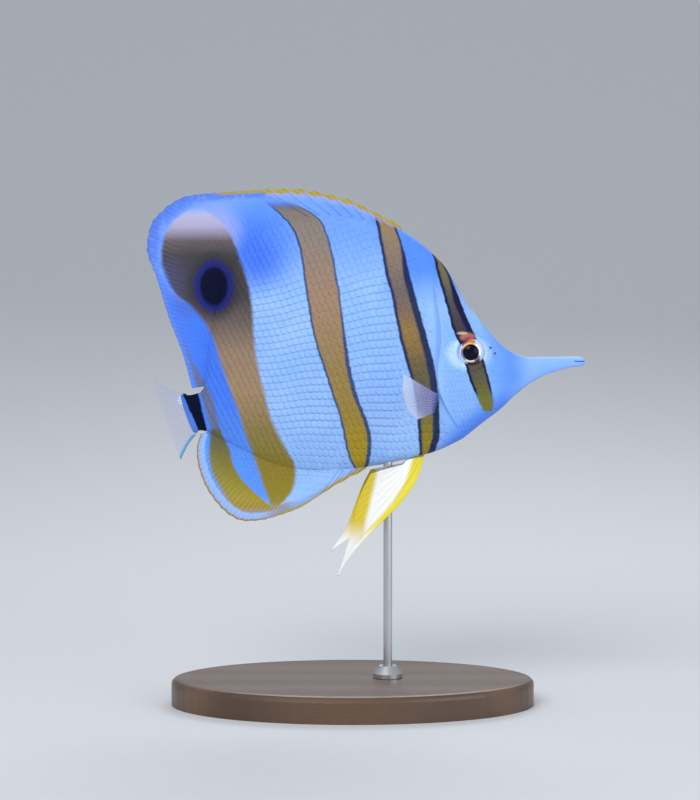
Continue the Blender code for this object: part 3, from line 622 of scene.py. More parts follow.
def skin_map(faces, shares, around):
    """The skin's own unwrap, with the seam's faces carried past the edge instead of back across."""
    corners = corner_values(faces, shares)
    start = 0
    for face in faces:
        part = corners[start:start + len(face)]
        if part[:, 1].max() - part[:, 1].min() > 0.5:
            part[part[:, 1] < 0.5, 1] += 1.0
        start += len(face)
    corners[:, 1] /= 1.0 + 1.0 / around
    return corners


def skin_relief(grid):
    """How far each point of the skin moves out from the solids' surface."""
    x, y, z = grid[..., 0], grid[..., 1], grid[..., 2]
    relief = np.full(x.shape, -COAT_DEPTH)
    off = np.hypot(x - EYE_X, z - EYE_Z)
    relief += ORBIT_RISE * bell(off, EYE_RADIUS + 0.55, 0.55)
    relief -= SOCKET_DEPTH * (1 - ease(off, EYE_RADIUS - 0.9, EYE_RADIUS + 0.15))
    relief -= ORBIT_GROOVE * bell(off, EYE_RADIUS + 1.9, 0.6)
    for nx, nz in NOSTRILS:
        away = np.hypot(x - nx, z - nz)
        rim = NOSTRIL_RIM * bell(away, NOSTRIL_RADIUS + 0.2, 0.22)
        relief += (np.abs(y) > 1.0) * (rim - NOSTRIL_DEPTH * bell(away, 0.0, 0.36))
    mouth = ease(x, 74.4, 75.6) * np.exp(-((z - MOUTH_LINE) / 0.16) ** 2)
    relief -= MOUTH_DEPTH * mouth
    relief += LIP_RISE * ease(x, 76.6, 77.6) * np.exp(-((np.abs(z - MOUTH_LINE) - 0.55) / 0.35) ** 2)
    return relief


def steps(count):
    """Even shares from 0 to 1."""
    return [k / count for k in range(count + 1)]


def fin_skin(name, place, columns, rows, rays, material, nodes):
    """A thin closed fin of two faces; its map counts rays across and runs from root to tip."""
    low, high, shares, margins = [], [], [], []
    for u in columns:
        end = place(u, 1.0)[0]
        for v in rows:
            point, across, half = place(u, v)
            low.append(tuple(point - across * half))
            high.append(tuple(point + across * half))
            shares.append((u * rays, v))
            margins.append(((end - point).length / 10, u))
    verts = low + high
    shares, margins = shares * 2, margins * 2
    wide, tall = len(columns), len(rows)
    lift = wide * tall
    faces = []
    for i in range(wide - 1):
        for j in range(tall - 1):
            a, b = i * tall + j, (i + 1) * tall + j
            faces.append((a, b, b + 1, a + 1))
            faces.append((a + lift, a + 1 + lift, b + 1 + lift, b + lift))
    rim = [i * tall for i in range(wide)] + [(wide - 1) * tall + j for j in range(1, tall)]
    rim += [i * tall + tall - 1 for i in range(wide - 2, -1, -1)] + list(range(tall - 2, 0, -1))
    for a, b in zip(rim, rim[1:] + rim[:1]):
        faces.append((a, a + lift, b + lift, b))
    faces = turned_out(verts, faces)
    maps = {"Rays": corner_values(faces, shares), "Margin": corner_values(faces, margins)}
    fin = add_piece(name, verts, faces, material, maps)
    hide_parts(*nodes)
    return fin, verts, faces, shares


def ray_form(u, v, rays, root, tip, rise, bare=0.0):
    """Half the thickness of a fin: thin skin, with rays that fork on their way out.

    The rays begin to show at bare, where the scales thin out."""
    taper = root + (tip - root) * v ** 0.6
    rise *= 1.0 if bare == 0.0 else float(ease(v, bare - 0.08, bare + 0.25))
    one = (0.5 - 0.5 * math.cos(2 * math.pi * u * rays)) ** 3
    two = (0.5 + 0.5 * math.cos(4 * math.pi * u * rays)) ** 2
    fork = float(ease(v, 0.45, 0.75))
    return taper + rise * (one * (1 - fork) + 0.6 * two * fork) * (1 - 0.75 * v)


def fin_foot(outline, side, root, u):
    """Where a fin of the back or the vent begins, sunk into the body."""
    share = root[0] + (root[1] - root[0]) * u
    return outline.at(share) - outline.outward(share, side) * FIN_ROOT_DEPTH


def median_fin(name, outline, side, root, tips, rays, material, nodes):
    margin = Outline(tips)

    def place(u, v):
        foot = fin_foot(outline, side, root, u)
        scallop = 1 - 0.005 * (1 + math.cos(2 * math.pi * u * rays)) * v
        point, across = bent(foot.lerp(margin.at(u), v * scallop))
        return point, across, ray_form(u, v, rays, 0.85, 0.13, 0.07, FIN_SCALES_TO)

    return fin_skin(name, place, steps(rays * RAY_COLUMNS), steps(44), rays, material, nodes)


def spiny_fin(name, outline, side, root, tips, spines, material, nodes):
    margin = Outline(tips)

    def place(u, v):
        foot = fin_foot(outline, side, root, u)
        beside = abs((u * spines) % 1.0 - 0.5) * 2
        notch = (NOTCH_FRONT + (NOTCH_REAR - NOTCH_FRONT) * u) * max(0.0, beside - 0.12) ** 1.3
        if u in (0.0, 1.0):
            notch *= 1.0 - u
        point, across = bent(foot.lerp(margin.at(u), v * (1 - notch)))
        spine = math.sqrt(max(0.0, 1 - (beside / 0.2) ** 2))
        skin = 0.5 + (0.12 - 0.5) * v ** 0.6
        return point, across, skin + 0.42 * spine * (1 - 0.85 * v)

    parts = (0.0, 0.14, 0.28, 0.38, 0.405, 0.43, 0.465, 0.5, 0.535, 0.57, 0.595, 0.62, 0.72, 0.86)
    columns = [(k + part) / spines for k in range(spines) for part in parts] + [1.0]
    return fin_skin(name, place, columns, steps(24), spines, material, nodes)


def caudal(material):
    def place(u, v):
        w = 2 * u - 1
        bulge = 1 + 0.06 * (1 - w * w)
        length = PEDUNCLE_LENGTH - 1.0 + (CAUDAL_LENGTH + 1.2) * bulge * v
        spread = 1 + (CAUDAL_SPREAD - 1) * v ** CAUDAL_FLARE
        point, across = tail_place(length, w * 0.985, spread)
        return point, across, ray_form(u, v, CAUDAL_RAYS, 0.42, 0.11, 0.22)

    return fin_skin("tail_fin", place, steps(CAUDAL_RAYS * RAY_COLUMNS), steps(36), CAUDAL_RAYS,
                    material, ["caudal_fin"])


def across_of(centre, u, v):
    step = 0.01
    along = centre(min(u + step, 1.0), v) - centre(max(u - step, 0.0), v)
    out = centre(u, min(v + step, 1.0)) - centre(u, max(v - step, 0.0))
    return along.cross(out).normalized()


def pelvic_bow(bow, u, v):
    """How far a front ray leaves a straight line: forwards up to the bow's turn, backwards past it."""
    most, turn = bow
    fade = max(0.0, 1 - u / PELVIC_BOW_FADE) ** 2
    return most * v * (1 - v) * (turn - v) * fade


def pelvic(word, side, tips, bow, material):
    root, margin = Outline(PELVIC_ROOT), Outline(tips)

    def centre(u, v):
        ray = margin.at(u) - root.at(u)
        out = Vector((-ray.y, ray.x)).normalized()
        flat = root.at(u) + ray * v + out * pelvic_bow(bow, u, v)
        away = PELVIC_ROOT_SIDE + (PELVIC_TIP_SIDE - PELVIC_ROOT_SIDE) * max(v, 0.0) ** 0.75
        lift = 1.2 * max(0.0, 1 - v * 8)
        return Vector((flat.x, side * (away + 0.8 * u * v), flat.y + lift))

    def place(u, v):
        across = across_of(centre, u, v) if v > 0.02 else Vector((0.0, 1.0, 0.0))
        if across.y < 0:
            across.negate()
        front = math.sqrt(max(0.0, 1 - (u / 0.07) ** 2)) * 0.4 * (1 - 0.7 * v)
        half = ray_form(u + 0.5 / PELVIC_RAYS, v, PELVIC_RAYS, 0.42, 0.12, 0.24)
        return centre(u, v), across, half + front

    return fin_skin("belly_fin_" + word, place, steps(PELVIC_RAYS * 12), steps(50), PELVIC_RAYS,
                    material, ["pelvic_fin_" + word])


def pectoral(word, side, material):
    root, margin = Outline(PECTORAL_ROOT), Outline(PECTORAL_TIPS)
    reach = [(k / (len(PECTORAL_OUT) - 1), out) for k, out in enumerate(PECTORAL_OUT)]
    feet = {}

    def centre(u, v):
        if u not in feet:
            foot = root.at(u)
            s, w = TORSO.find(foot.x, foot.y)
            feet[u] = (foot, TORSO.half(s, w) - 0.7)
        foot, half = feet[u]
        start = Vector((foot.x, half, foot.y))
        tip = margin.at(u)
        end = Vector((tip.x, half + 1.0 + read(reach, u), tip.y))
        first = start + Vector((0.0, PECTORAL_FIRST_OUT + 1.0, 0.0))
        point = start * (1 - v) ** 2 + first * 2 * v * (1 - v) + end * v * v
        point.y *= side
        return point

    def place(u, v):
        across = across_of(centre, u, v)
        if across.x < 0:
            across.negate()
        return centre(u, v), across, ray_form(u, v, PECTORAL_RAYS, 0.38, 0.09, 0.2)

    return fin_skin("side_fin_" + word, place, steps(PECTORAL_RAYS * RAY_COLUMNS), steps(30),
                    PECTORAL_RAYS, material, ["pectoral_fin_" + word])


# Scales.

def scale_shape():
    """One scale as rows of (a, b, level, dome, t) and its faces.

    a runs from the root to the free edge, b runs across, level is 1 on top and 0 beneath."""
    along, across = 5, 6
    top = []
    for i in range(along + 1):
        t = i / along
        for j in range(across + 1):
            b = 2 * j / across - 1
            reach = 0.55 + 0.45 * math.sqrt(max(0.0, 1 - (b * 0.92) ** 2))
            dome = 0.35 * (1 - b * b) * math.sin(math.pi * t * 0.9)
            top.append((-0.2 + 1.2 * reach * t, b * (0.8 + 0.2 * math.sin(math.pi * t * 0.8)), 1, dome, t))
    row = across + 1
    faces = []
    for i in range(along):
        for j in range(across):
            a = i * row + j
            faces.append((a, a + row, a + row + 1, a + 1))
    rim = list(range(row)) + [i * row + across for i in range(1, along + 1)]
    rim += [along * row + j for j in range(across - 1, -1, -1)] + [i * row for i in range(along - 1, 0, -1)]
    base = len(top)
    under = [(top[k][0], top[k][1], 0, 0.0, top[k][4]) for k in rim]
    count = len(rim)
    for k in range(count):
        after = (k + 1) % count
        faces.append((rim[k], rim[after], base + after, base + k))
    faces.append(tuple(base + k for k in range(count)))
    return np.array(top + under), faces


def row_height(x, number, pitch):
    """The height of a row of scales at x: tilted with the body, more so away from the middle."""
    level = number * pitch
    return ROW_MIDDLE + level + x * (ROW_TILT + ROW_FAN * level) + 0.25 * math.sin(x * 0.31)


def scale_roots(tree, side, pitch, keep, low, high, flat=False):
    """Roots of staggered scales on one side: places, outward directions, faces and sizes.

    flat says that they lie in the bent middle plane of the body."""
    chance = random.Random(SEED)
    roots = []
    along, across = pitch
    rows = int(110 / across)
    for number in range(-rows, rows + 1):
        x = low + (along / 2 if number % 2 else 0.0)
        while x < high:
            z = row_height(x, number, across)
            place = Vector((x + chance.uniform(-SCALE_JITTER, SCALE_JITTER), side * 60.0, z))
            hit, normal, face, _ = tree.ray_cast(place, Vector((0.0, -side, 0.0)))
            if hit is not None and normal.y * side > 0.3:
                size = keep(hit, face)
                if flat:
                    normal = bend_at(hit.x)[1] * side
                if size > 0:
                    wide = min(1.9, 1.0 / max(abs(normal.y), 0.3))
                    roots.append((hit, normal, face, size, wide, chance.random()))
            x += along
    return roots


def ridge_roots(tree, up, pitch, low, high):
    """Roots of scales over the rounded back or breast, where the flanks' rows run out."""
    chance = random.Random(SEED + 1)
    roots = []
    along, across = pitch
    for number in range(-3, 4):
        x = low + (along / 2 if number % 2 else 0.0)
        while x < high:
            place = Vector((x, number * across * 0.8, ROW_MIDDLE + up * 80.0))
            hit, normal, face, _ = tree.ray_cast(place, Vector((0.0, 0.0, -up)))
            if hit is not None and abs(normal.y) < 0.72:
                roots.append((hit, normal, face, 1.0, 1.1, chance.random()))
            x += along
    return roots


def lay_scales(name, roots, pitch, shares, faces_of, material, tree):
    """Joins one scale at each root into one mesh, with a small patch of the map for each."""
    shape, shape_faces = scale_shape()
    verts, faces, corners = [], [], []
    corner_order = [k for face in shape_faces for k in face]
    patch = np.column_stack([shape[:, 0] * 0.4, shape[:, 1] * 0.45]) * PATCH
    for number, (hit, normal, face, size, spread, luck) in enumerate(roots):
        back = Vector((-1.0, 0.0, -ROW_TILT))
        back = (back - normal * back.dot(normal)).normalized()
        across = normal.cross(back).normalized()
        long = pitch[0] * SCALE_SPAN[0] * size
        wide = pitch[1] * SCALE_SPAN[1] * size * spread
        lift = SCALE_LIFT * (0.85 + 0.3 * luck) * min(1.0, size * pitch[0] / 1.6)
        a, b, level, dome, t = shape.T
        slope = t * 1.15 * (1 - EDGE_DROP * ease(t, 0.7, 1.0))
        rise = lift * (slope + dome) - ROOT_SUNK + (level - 1) * SCALE_THICK * (1 - 0.5 * t)
        flat = (np.array(hit)[None, :] + np.outer(a * long * 1.25, np.array(back))
                + np.outer(b * wide, np.array(across)))
        lain = np.array([tree.find_nearest(spot)[0] for spot in flat.tolist()])
        points = lain + np.outer(rise, np.array(normal))
        base = number * len(shape)
        verts.append(points)
        faces += [tuple(base + k for k in part) for part in shape_faces]
        spot = np.mean([shares[k] for k in faces_of[face]], axis=0)
        corners.append((spot + patch)[corner_order])
    add_piece(name, np.concatenate(verts), faces, material, {"OFBake": np.concatenate(corners)})


def coat_body(skin_parts, material):
    _, verts, faces, shares = skin_parts
    tree = BVHTree.FromPolygons([tuple(v) for v in verts], faces)

    def clear_of_eye(hit):
        return math.hypot(hit.x - EYE_X, hit.z - EYE_Z) > EYE_RADIUS + 0.9

    stations = station_list()
    gill = next(k for k, (stretch, _) in enumerate(stations) if stretch == "torso")

    def station(face):
        return float(np.mean([shares[k][0] for k in faces[face]])) * len(stations)

    def on_body(hit, face):
        return 1.0 if hit.x > -50.5 and station(face) > gill + 5 else 0.0

    def on_head(hit, face):
        if station(face) > gill - 9 or hit.x > 64.0 or not clear_of_eye(hit):
            return 0.0
        return 1.0 - 0.35 * float(ease(hit.x, 44.0, 62.0))

    for word, side in SIDES:
        body = scale_roots(tree, side, BODY_PITCH, on_body, -56.0, 34.0)
        lay_scales("body_scales_" + word, body, BODY_PITCH, shares, faces, material, tree)
        head = scale_roots(tree, side, HEAD_PITCH, on_head, 24.0, 65.0)
        lay_scales("head_scales_" + word, head, HEAD_PITCH, shares, faces, material, tree)
    ridge = ridge_roots(tree, 1, HEAD_PITCH, 20.5, 58.0) + ridge_roots(tree, -1, HEAD_PITCH, 25.5, 58.0)
    lay_scales("ridge_scales", ridge, HEAD_PITCH, shares, faces, material, tree)


def coat_fin(name, fin_parts, material):
    """Scales on the lower part of a fin, smaller towards the margin."""
    _, verts, faces, shares = fin_parts
    tree = BVHTree.FromPolygons([tuple(v) for v in verts], faces)
    most = max(u for u, _ in shares)
    flat = [(u / most, v) for u, v in shares]

    def on_fin(hit, face):
        v = float(np.mean([flat[k][1] for k in faces[face]]))
        return 0.0 if v > FIN_SCALES_TO else 1.0 - 0.4 * (v / FIN_SCALES_TO)

    for word, side in SIDES:
        roots = scale_roots(tree, side, FIN_PITCH, on_fin, -72.0, 20.0, flat=True)
        lay_scales(name + "_" + word, roots, FIN_PITCH, flat, faces, material, tree)


# Materials.

class Wire:
    """A number on its way through a material, written with ordinary operators."""

    def __init__(self, finish, socket):
        self.finish = finish
        self.socket = socket

    def math(self, operation, *values):
        return self.finish.add("ShaderNodeMath", {"operation": operation}, dict(enumerate(values)))

    def __add__(self, other):
        return self.math("ADD", self, other)

    __radd__ = __add__

    def __sub__(self, other):
        return self.math("SUBTRACT", self, other)

    def __rsub__(self, other):
        return self.math("SUBTRACT", other, self)

    def __mul__(self, other):
        return self.math("MULTIPLY", self, other)

    __rmul__ = __mul__

    def __truediv__(self, other):
        return self.math("DIVIDE", self, other)

    def __pow__(self, other):
        return self.math("POWER", self, other)

    def most(self, other):
        return self.math("MAXIMUM", self, other)

    def size(self):
        return self.math("ABSOLUTE", self)

    def wave(self):
        return self.math("SINE", self)

    def part(self):
        return self.math("FRACT", self)

    def clear(self, low, high):
        """0 below low and 1 above high, smoothly."""
        return self.finish.add("ShaderNodeMapRange", {"interpolation_type": "SMOOTHSTEP"},
                               {"Value": self, "From Min": low, "From Max": high})

    def fall(self, low, high):
        """1 below low and 0 above high, smoothly."""
        return 1.0 - self.clear(low, high)


class Finish:
    """A material, its Principled shader and the one way its other nodes are made."""

    def __init__(self, name, **constants):
        self.material = bpy.data.materials.new(name)
        self.material.use_nodes = True
        self.tree = self.material.node_tree
        self.surface = self.tree.nodes["Principled BSDF"]
        for socket, value in constants.items():
            self.surface.inputs[socket.replace("_", " ")].default_value = value

    def add(self, kind, settings=None, sockets=None, out=0):
        node = self.tree.nodes.new(kind)
        for key, value in (settings or {}).items():
            if key == "stops":
                ramp = node.color_ramp
                while len(ramp.elements) < len(value):
                    ramp.elements.new(0.5)
                for element, (position, colour) in zip(ramp.elements, value):
                    element.position = position
                    element.color = (*colour, 1.0)
            elif key == "curve":
                curve = node.mapping.curves[0]
                while len(curve.points) < len(value):
                    curve.points.new(0.5, 0.5)
                for point, (across, up) in zip(curve.points, value):
                    point.location = (across, up)
                    point.handle_type = "AUTO_CLAMPED"
                node.mapping.update()
            else:
                setattr(node, key, value)
        for key, value in (sockets or {}).items():
            target = node.inputs[key]
            if isinstance(value, Wire):
                self.tree.links.new(value.socket, target)
            elif value is not None:
                target.default_value = value
        return Wire(self, node.outputs[out])

    def parts(self, vector):
        """The three numbers of a vector."""
        node = self.add("ShaderNodeSeparateXYZ", None, {0: vector}).socket.node
        return [Wire(self, socket) for socket in node.outputs]

    def mix(self, share, first, second, blend="MIX"):
        """The second colour over the first, by a share from 0 to 1."""
        return self.add("ShaderNodeMix", {"data_type": "RGBA", "blend_type": blend},
                        {0: share, 6: colour(first), 7: colour(second)}, out=2)

    def place(self):
        """The place on the object, in its own metres."""
        return self.add("ShaderNodeTexCoord", out=3)

    def noise(self, place, scale, detail=3.0, roughness=0.55):
        return self.add("ShaderNodeTexNoise", None,
                        {"Vector": place, "Scale": scale, "Detail": detail, "Roughness": roughness})

    def ramp(self, value, stops):
        return self.add("ShaderNodeValToRGB", {"stops": stops}, {"Fac": value})

    def feed(self, **sockets):
        for socket, value in sockets.items():
            target = self.surface.inputs[socket.replace("_", " ")]
            self.tree.links.new(value.socket, target)

    def bump(self, height, distance, strength):
        return self.add("ShaderNodeBump", None,
                        {"Height": height, "Distance": distance, "Strength": strength})


def colour(value):
    return value if isinstance(value, Wire) or value is None else (*value, 1.0)


class Side:
    """The fish's side view inside a material: x and z in millimetres, and what is painted on it."""

    def __init__(self, finish):
        self.finish = finish
        self.place = finish.place()
        self.x, self.y, self.z = (part / MM for part in finish.parts(self.place))
        self.wobble = finish.noise(self.place, 420.0, 2.0) - 0.5
        self.cloud = finish.noise(self.place, 60.0, 3.0)
        self.level = (self.z - CURVE_LOW) / CURVE_TALL

    def edge(self, points):
        """The x of a band's edge at this height."""
        shares = [((z - CURVE_LOW) / CURVE_TALL, (x - CURVE_LEFT) / CURVE_WIDE) for z, x in points]
        found = self.finish.add("ShaderNodeFloatCurve", {"curve": shares}, {1: self.level})
        return found * CURVE_WIDE + CURVE_LEFT

    def edges(self, pair):
        return tuple(self.edge(points) for points in pair)

    def fill(self, stops):
        """A colour by height."""
        return self.finish.ramp(self.level, [((z - CURVE_LOW) / CURVE_TALL, tint) for z, tint in stops])

    def band(self, edges, soft, low, high, fade=1.0):
        """1 inside a band between its rear and front edge, from a low to a high end."""
        rear, front = edges
        x = self.x + self.wobble * 0.9
        inside = (x - rear).clear(-soft, soft) * (front - x).clear(-soft, soft)
        return inside * self.z.clear(low - fade, low + fade) * self.z.fall(high - fade, high + fade)

    def oval(self, middle, size, soft):
        """1 inside an upright oval, 0 outside, over a soft share of its size."""
        x = (self.x - middle[0]) / size[0]
        z = (self.z - middle[1]) / size[1]
        return ((x * x + z * z) ** 0.5).fall(1.0 - soft, 1.0 + soft)

    def stain(self, body, mark):
        """A soft oval mark over what is painted so far."""
        middle, size, soft, strength, tint = mark
        return self.finish.mix(self.oval(middle, size, soft) * strength, body, tint)

    def rimmed(self, body, edges, inner, softness, ends, fade, rim_strength, filling):
        """A band with dark rims; ends are its low end, its filling's high end and its rims' high end."""
        low, high, rim_high = ends
        rim = self.band(edges, softness[0], low, rim_high, fade) * rim_strength
        body = self.finish.mix(rim, body, NAVY)
        return self.finish.mix(self.band(inner, softness[1], low, high, fade), body, self.fill(filling))


def body_paint(finish, side):
    """The fish's markings with painted shade, the same for skin, scales and fins: a colour, and how dull it
    is.
    """
    mix, x, z = finish.mix, side.x, side.z
    body = mix(side.cloud.clear(0.35, 0.7) * 0.7, PALE, PALE_HIGH)
    # Painted shade: the blue deepens toward the back and over the shoulder.
    upper_shade = (z.clear(*NAPE_Z) * 0.65).most(z.clear(*SHOULDER_Z) * x.clear(*SHOULDER_X))
    body = mix(upper_shade, body, SHADE_BLUE)
    # Painted shade: the blue deepens over the brow, less so on the snout.
    brow_shade = x.clear(*BROW_X) * (1.0 - x.clear(*BROW_END_X) * 0.75) * z.clear(*BROW_Z)
    body = mix(brow_shade * 0.85, body, SHADE_BLUE)
    cheek = x.clear(*CHEEK_X) * x.fall(*CHEEK_END_X) * z.fall(*CHEEK_END_Z)
    body = mix(cheek * 0.5, body, CHEEK_BLUE)
    # Painted shade: the blue deepens in a strip along the throat's lower edge.
    over_throat = z - THROAT_FOOT - x * THROAT_SLOPE
    low = over_throat.fall(*THROAT_RISE) * x.clear(*THROAT_X) * x.fall(*THROAT_END_X)
    body = mix(low * 0.9, body, SHADE_BLUE)
    for mark in (SHADE, DEEP_SHADE, EYE_GLOW):
        body = side.stain(body, mark)

    row = ((z - ROW_MIDDLE - x * ROW_TILT - (x * 0.31).wave() * 0.25) / (1.0 + x * ROW_FAN)
           / BODY_PITCH[1]).part()
    # Painted shade: faint dark lines along the rows of scales, stronger on the rear of the flank.
    seam = (row - 0.5).size().fall(0.04, 0.18) * x.fall(*SEAM_END_X)
    fine = x.clear(*FINE_X) * z.clear(*FINE_Z) * z.fall(*FINE_END_Z)
    body = mix(seam * (0.12 + fine * 0.3), body, ROW_SHADE_BLUE)

    eye, gill, flank, rear_edges = (side.edges(pair) for pair in (EYE_BAND, GILL_BAND, FLANK_BAND, REAR_BAND))
    behind = (rear_edges[0] - x).clear(-1.6, 0.0) * z.clear(*BEHIND_Z) * z.fall(*BEHIND_END_Z)
    body = mix(behind * 0.92, body, mix(z.clear(*BEHIND_DEEP_Z), LIT_SKY, LATE_SKY))
    stripe = side.band(side.edges(MARGIN_STRIPE), 0.6, 92.0, 133.0, fade=2.0)
    body = mix(stripe * (0.85 - z.clear(*STRIPE_FADE_Z) * 0.5), body, STRIPE_GREY)
    body = mix(side.band(side.edges(ANAL_PATCH), 0.7, 66.5, 94.0), body, side.fill(ANAL_FILL))

    for mark in (LEFT_SHADE, VEIL):
        body = side.stain(body, mark)
    rear = side.band(rear_edges, 0.9, 67.0, 168.0, fade=2.0)
    body = mix(rear, body, side.fill(REAR_FILL))
    left = rear * x.fall(*LEFT_END_X) * z.fall(*LEFT_END_Z) * z.clear(*LEFT_Z)
    body = mix(left * 0.6, body, PATCH_LEFT)

    inner = (flank[0] + 0.75, flank[1] - 0.6 - z.fall(*FLANK_WIDE_Z) * 0.8)
    body = side.rimmed(body, flank, inner, (0.35, 0.4), (78.0, 169.5, 170.0), 2.2, 0.85, FLANK_FILL)
    inner = (gill[0] + 1.1, gill[1] - 0.7 - z.fall(*GILL_WIDE_Z) * 1.7)
    body = side.rimmed(body, gill, inner, (0.35, 0.5), (80.0, 168.0, 168.0), 1.0, 0.95, GILL_FILL)
    dark_end = z.clear(*EYE_DARK_Z)
    broad = z.clear(*EYE_BROAD_Z) * z.fall(*EYE_BROAD_END_Z)
    inner = (eye[0] + dark_end, eye[1] - dark_end * 0.8 - broad * 1.5)
    body = side.rimmed(body, eye, inner, (0.3, 0.45), (100.2, 155.5, 156.5), 0.7, dark_end, EYE_FILL)

    crest = side.y.size().fall(*CREST_Y) * x.clear(*CREST_X) * z.clear(*CREST_Z)
    body = mix(crest * 0.7, body, CREST_PALE)
    for mark in (EYELID, EYELID_SHINE):
        body = side.stain(body, mark)
    bar = side.band(side.edges(TAIL_BAR), 0.3, 93.0, 106.3, fade=0.4)
    body = mix(bar, body, BLACK)
    # Painted shade: dark spots in the nostril pits.
    for mark in NOSTRIL_SHADE:
        body = side.stain(body, mark)
    # Painted shade: a dark line along the mouth's slit, in the groove between the lips.
    lips = x.clear(*LIPS_X) * (z - MOUTH_LINE).size().fall(*LIPS_APART)
    body = mix(lips * 0.8, body, MOUTH_LINE_SHADE)
    for mark in (EYESPOT_HALO, EYESPOT_RING, EYESPOT_BLACK):
        body = side.stain(body, mark)
    return body, side.oval(*EYESPOT_HALO[:3]).most(bar)


def skin_finish():
    finish = Finish("fish_skin", Coat_Roughness=0.3, Specular_IOR_Level=0.12)
    side = Side(finish)
    paint, dull = body_paint(finish, side)
    grain = finish.noise(side.place, 2600.0, 2.0)
    pits = finish.add("ShaderNodeTexVoronoi", {"feature": "F1"}, {"Vector": side.place, "Scale": 1100.0})
    finish.feed(Base_Color=paint, Roughness=0.46 + grain * 0.14 + dull * 0.3,
                Coat_Weight=(0.02 + side.cloud * 0.05) * (1.0 - dull),
                Normal=finish.bump(grain * 0.5 + pits * 0.5, 0.00008, 0.5))
    return finish.material


def scale_finish():
    finish = Finish("fish_scales", Coat_Roughness=0.28, Specular_IOR_Level=0.12)
    side = Side(finish)
    paint, dull = body_paint(finish, side)
    tint = finish.noise(side.place, 500.0, 1.0)
    paint = finish.mix(0.25, paint, finish.ramp(tint, [(0.3, (0.72, 0.74, 0.82)), (0.7, (1.0, 1.0, 1.0))]),
                       "MULTIPLY")
    rings = finish.add("ShaderNodeTexWave", {"wave_type": "BANDS", "bands_direction": "X"},
                       {"Vector": side.place, "Scale": 900.0, "Distortion": 2.0})
    finish.feed(Base_Color=paint, Roughness=0.42 + tint * 0.16 + dull * 0.3,
                Coat_Weight=(0.02 + tint * 0.06) * (1.0 - dull), Normal=finish.bump(rings, 0.00003, 0.4))
    return finish.material


class Rays:
    """A fin's own maps inside a material: its rays, their joints, and the way to the margin."""

    def __init__(self, finish, joint_count, width):
        self.u, self.v = finish.parts(finish.add("ShaderNodeUVMap", {"uv_map": "Rays"}))[:2]
        self.margin = finish.parts(finish.add("ShaderNodeUVMap", {"uv_map": "Margin"}))[0] * 10.0
        fork = self.v.clear(0.45, 0.75)
        one = 1.0 - ((self.u.part() - 0.5).size() * 2.0).clear(0.12, width)
        two = 1.0 - (((self.u * 2.0).part() - 0.5).size() * 2.0).clear(0.2, 0.7)
        self.ray = one * (1.0 - fork) + two * fork * 0.8
        self.joint = ((self.v * joint_count).part() - 0.5).size().clear(0.32, 0.5) * self.ray

    def within(self, depth, soft):
        """1 within a depth of the margin."""
        return self.margin.fall(depth - soft, depth + soft)


def fin_finish(name, kind):
    """A fin's skin: the body's markings near the root, rays as fine lines, and its own margin."""
    finish = Finish(name, Specular_IOR_Level=0.12)
    side = Side(finish)
    paint, dull = body_paint(finish, side)
    rays = Rays(finish, 140.0, 0.45)
    mix, x, z = finish.mix, side.x, side.z
    if kind == "dorsal_soft":
        corner = z.clear(142.0, 154.0)
        # Painted highlights: lighter streaks over the margin where its folds would catch the light; the folds
        # are not in the shape.
        folds = finish.noise(side.place, 260.0, 2.0).clear(0.5, 0.7)
        rim = mix(folds * 0.45, (0.085, 0.20, 0.76), (0.30, 0.44, 0.92))
        paint = mix(rays.within(4.6, 1.8) * corner * 0.9, paint, rim)
        lower = (1.0 - corner) * z.clear(112.0, 132.0)
        paint = mix(rays.within(4.2, 2.2) * lower * 0.85, paint, (0.06, 0.19, 0.86))
        paint = mix(rays.within(1.6, 0.9) * (1.0 - corner) * 0.85, paint, (0.11, 0.26, 0.88))
        paint = mix(rays.within(1.7, 0.5) * x.clear(-49.0, -42.0), paint, GOLD)
    if kind == "dorsal_spiny":
        paint = mix(rays.within(4.6, 1.6) * 0.65, paint, (0.33, 0.34, 0.62))
        paint = mix(rays.within(2.3, 0.45), paint, GOLD)
    if kind == "anal":
        rear = x.fall(-32.0, -22.0)
        join = rays.within(5.2, 0.7) * x.fall(-24.0, -18.0) * x.clear(-48.0, -42.0)
        paint = mix(join * 0.85, paint, (0.36, 0.24, 0.04))
        paint = mix(rays.within(3.3, 0.5) * rear * 0.92, paint, (0.30, 0.50, 0.93))
        paint = mix(rays.within(0.7, 0.3) * rear, paint, (0.42, 0.24, 0.06))
        paint = mix(rays.within(4.0, 1.5) * (1.0 - rear) * 0.5, paint, (0.16, 0.29, 0.56))
        paint = mix(rays.within(1.3, 0.4) * (1.0 - rear), paint, (0.46, 0.32, 0.05))
    if kind == "pelvic":
        paint = mix(0.98, paint, WHITE)
        upper = z.clear(54.0, 64.0)
        front, rear = side.edges(PELVIC_EDGES)
        paint = mix((x - front + 4.0).clear(0.0, 1.8) * upper, paint, (0.74, 0.64, 0.03))
        gold = (rear + 5.2 - z.clear(66.0, 78.0) * 2.2 - x).clear(0.0, 2.2) * upper
        paint = mix(gold, paint, (0.70, 0.54, 0.02))
    shown = 1.0 if kind == "pelvic" else rays.v.clear(FIN_SCALES_TO - 0.05, FIN_SCALES_TO + 0.2)
    bright = 0.03 if kind == "dorsal_soft" else 0.08
    paint = mix(rays.ray * bright * shown, paint, RAY_PALE)
    paint = mix(rays.joint * 0.10 * shown, paint, JOINT_DARK)
    thin = rays.within(1.5, 1.5) * (1.0 - rays.ray * 0.6) * (0.0 if kind == "pelvic" else 1.0)
    finish.feed(Base_Color=paint, Roughness=0.40 + side.cloud * 0.12 + dull * 0.2,
                Alpha=1.0 - thin * 0.25, Normal=finish.bump(rays.ray * 0.6 + rays.joint * 0.25, 0.00007, 0.4))
    return finish.material


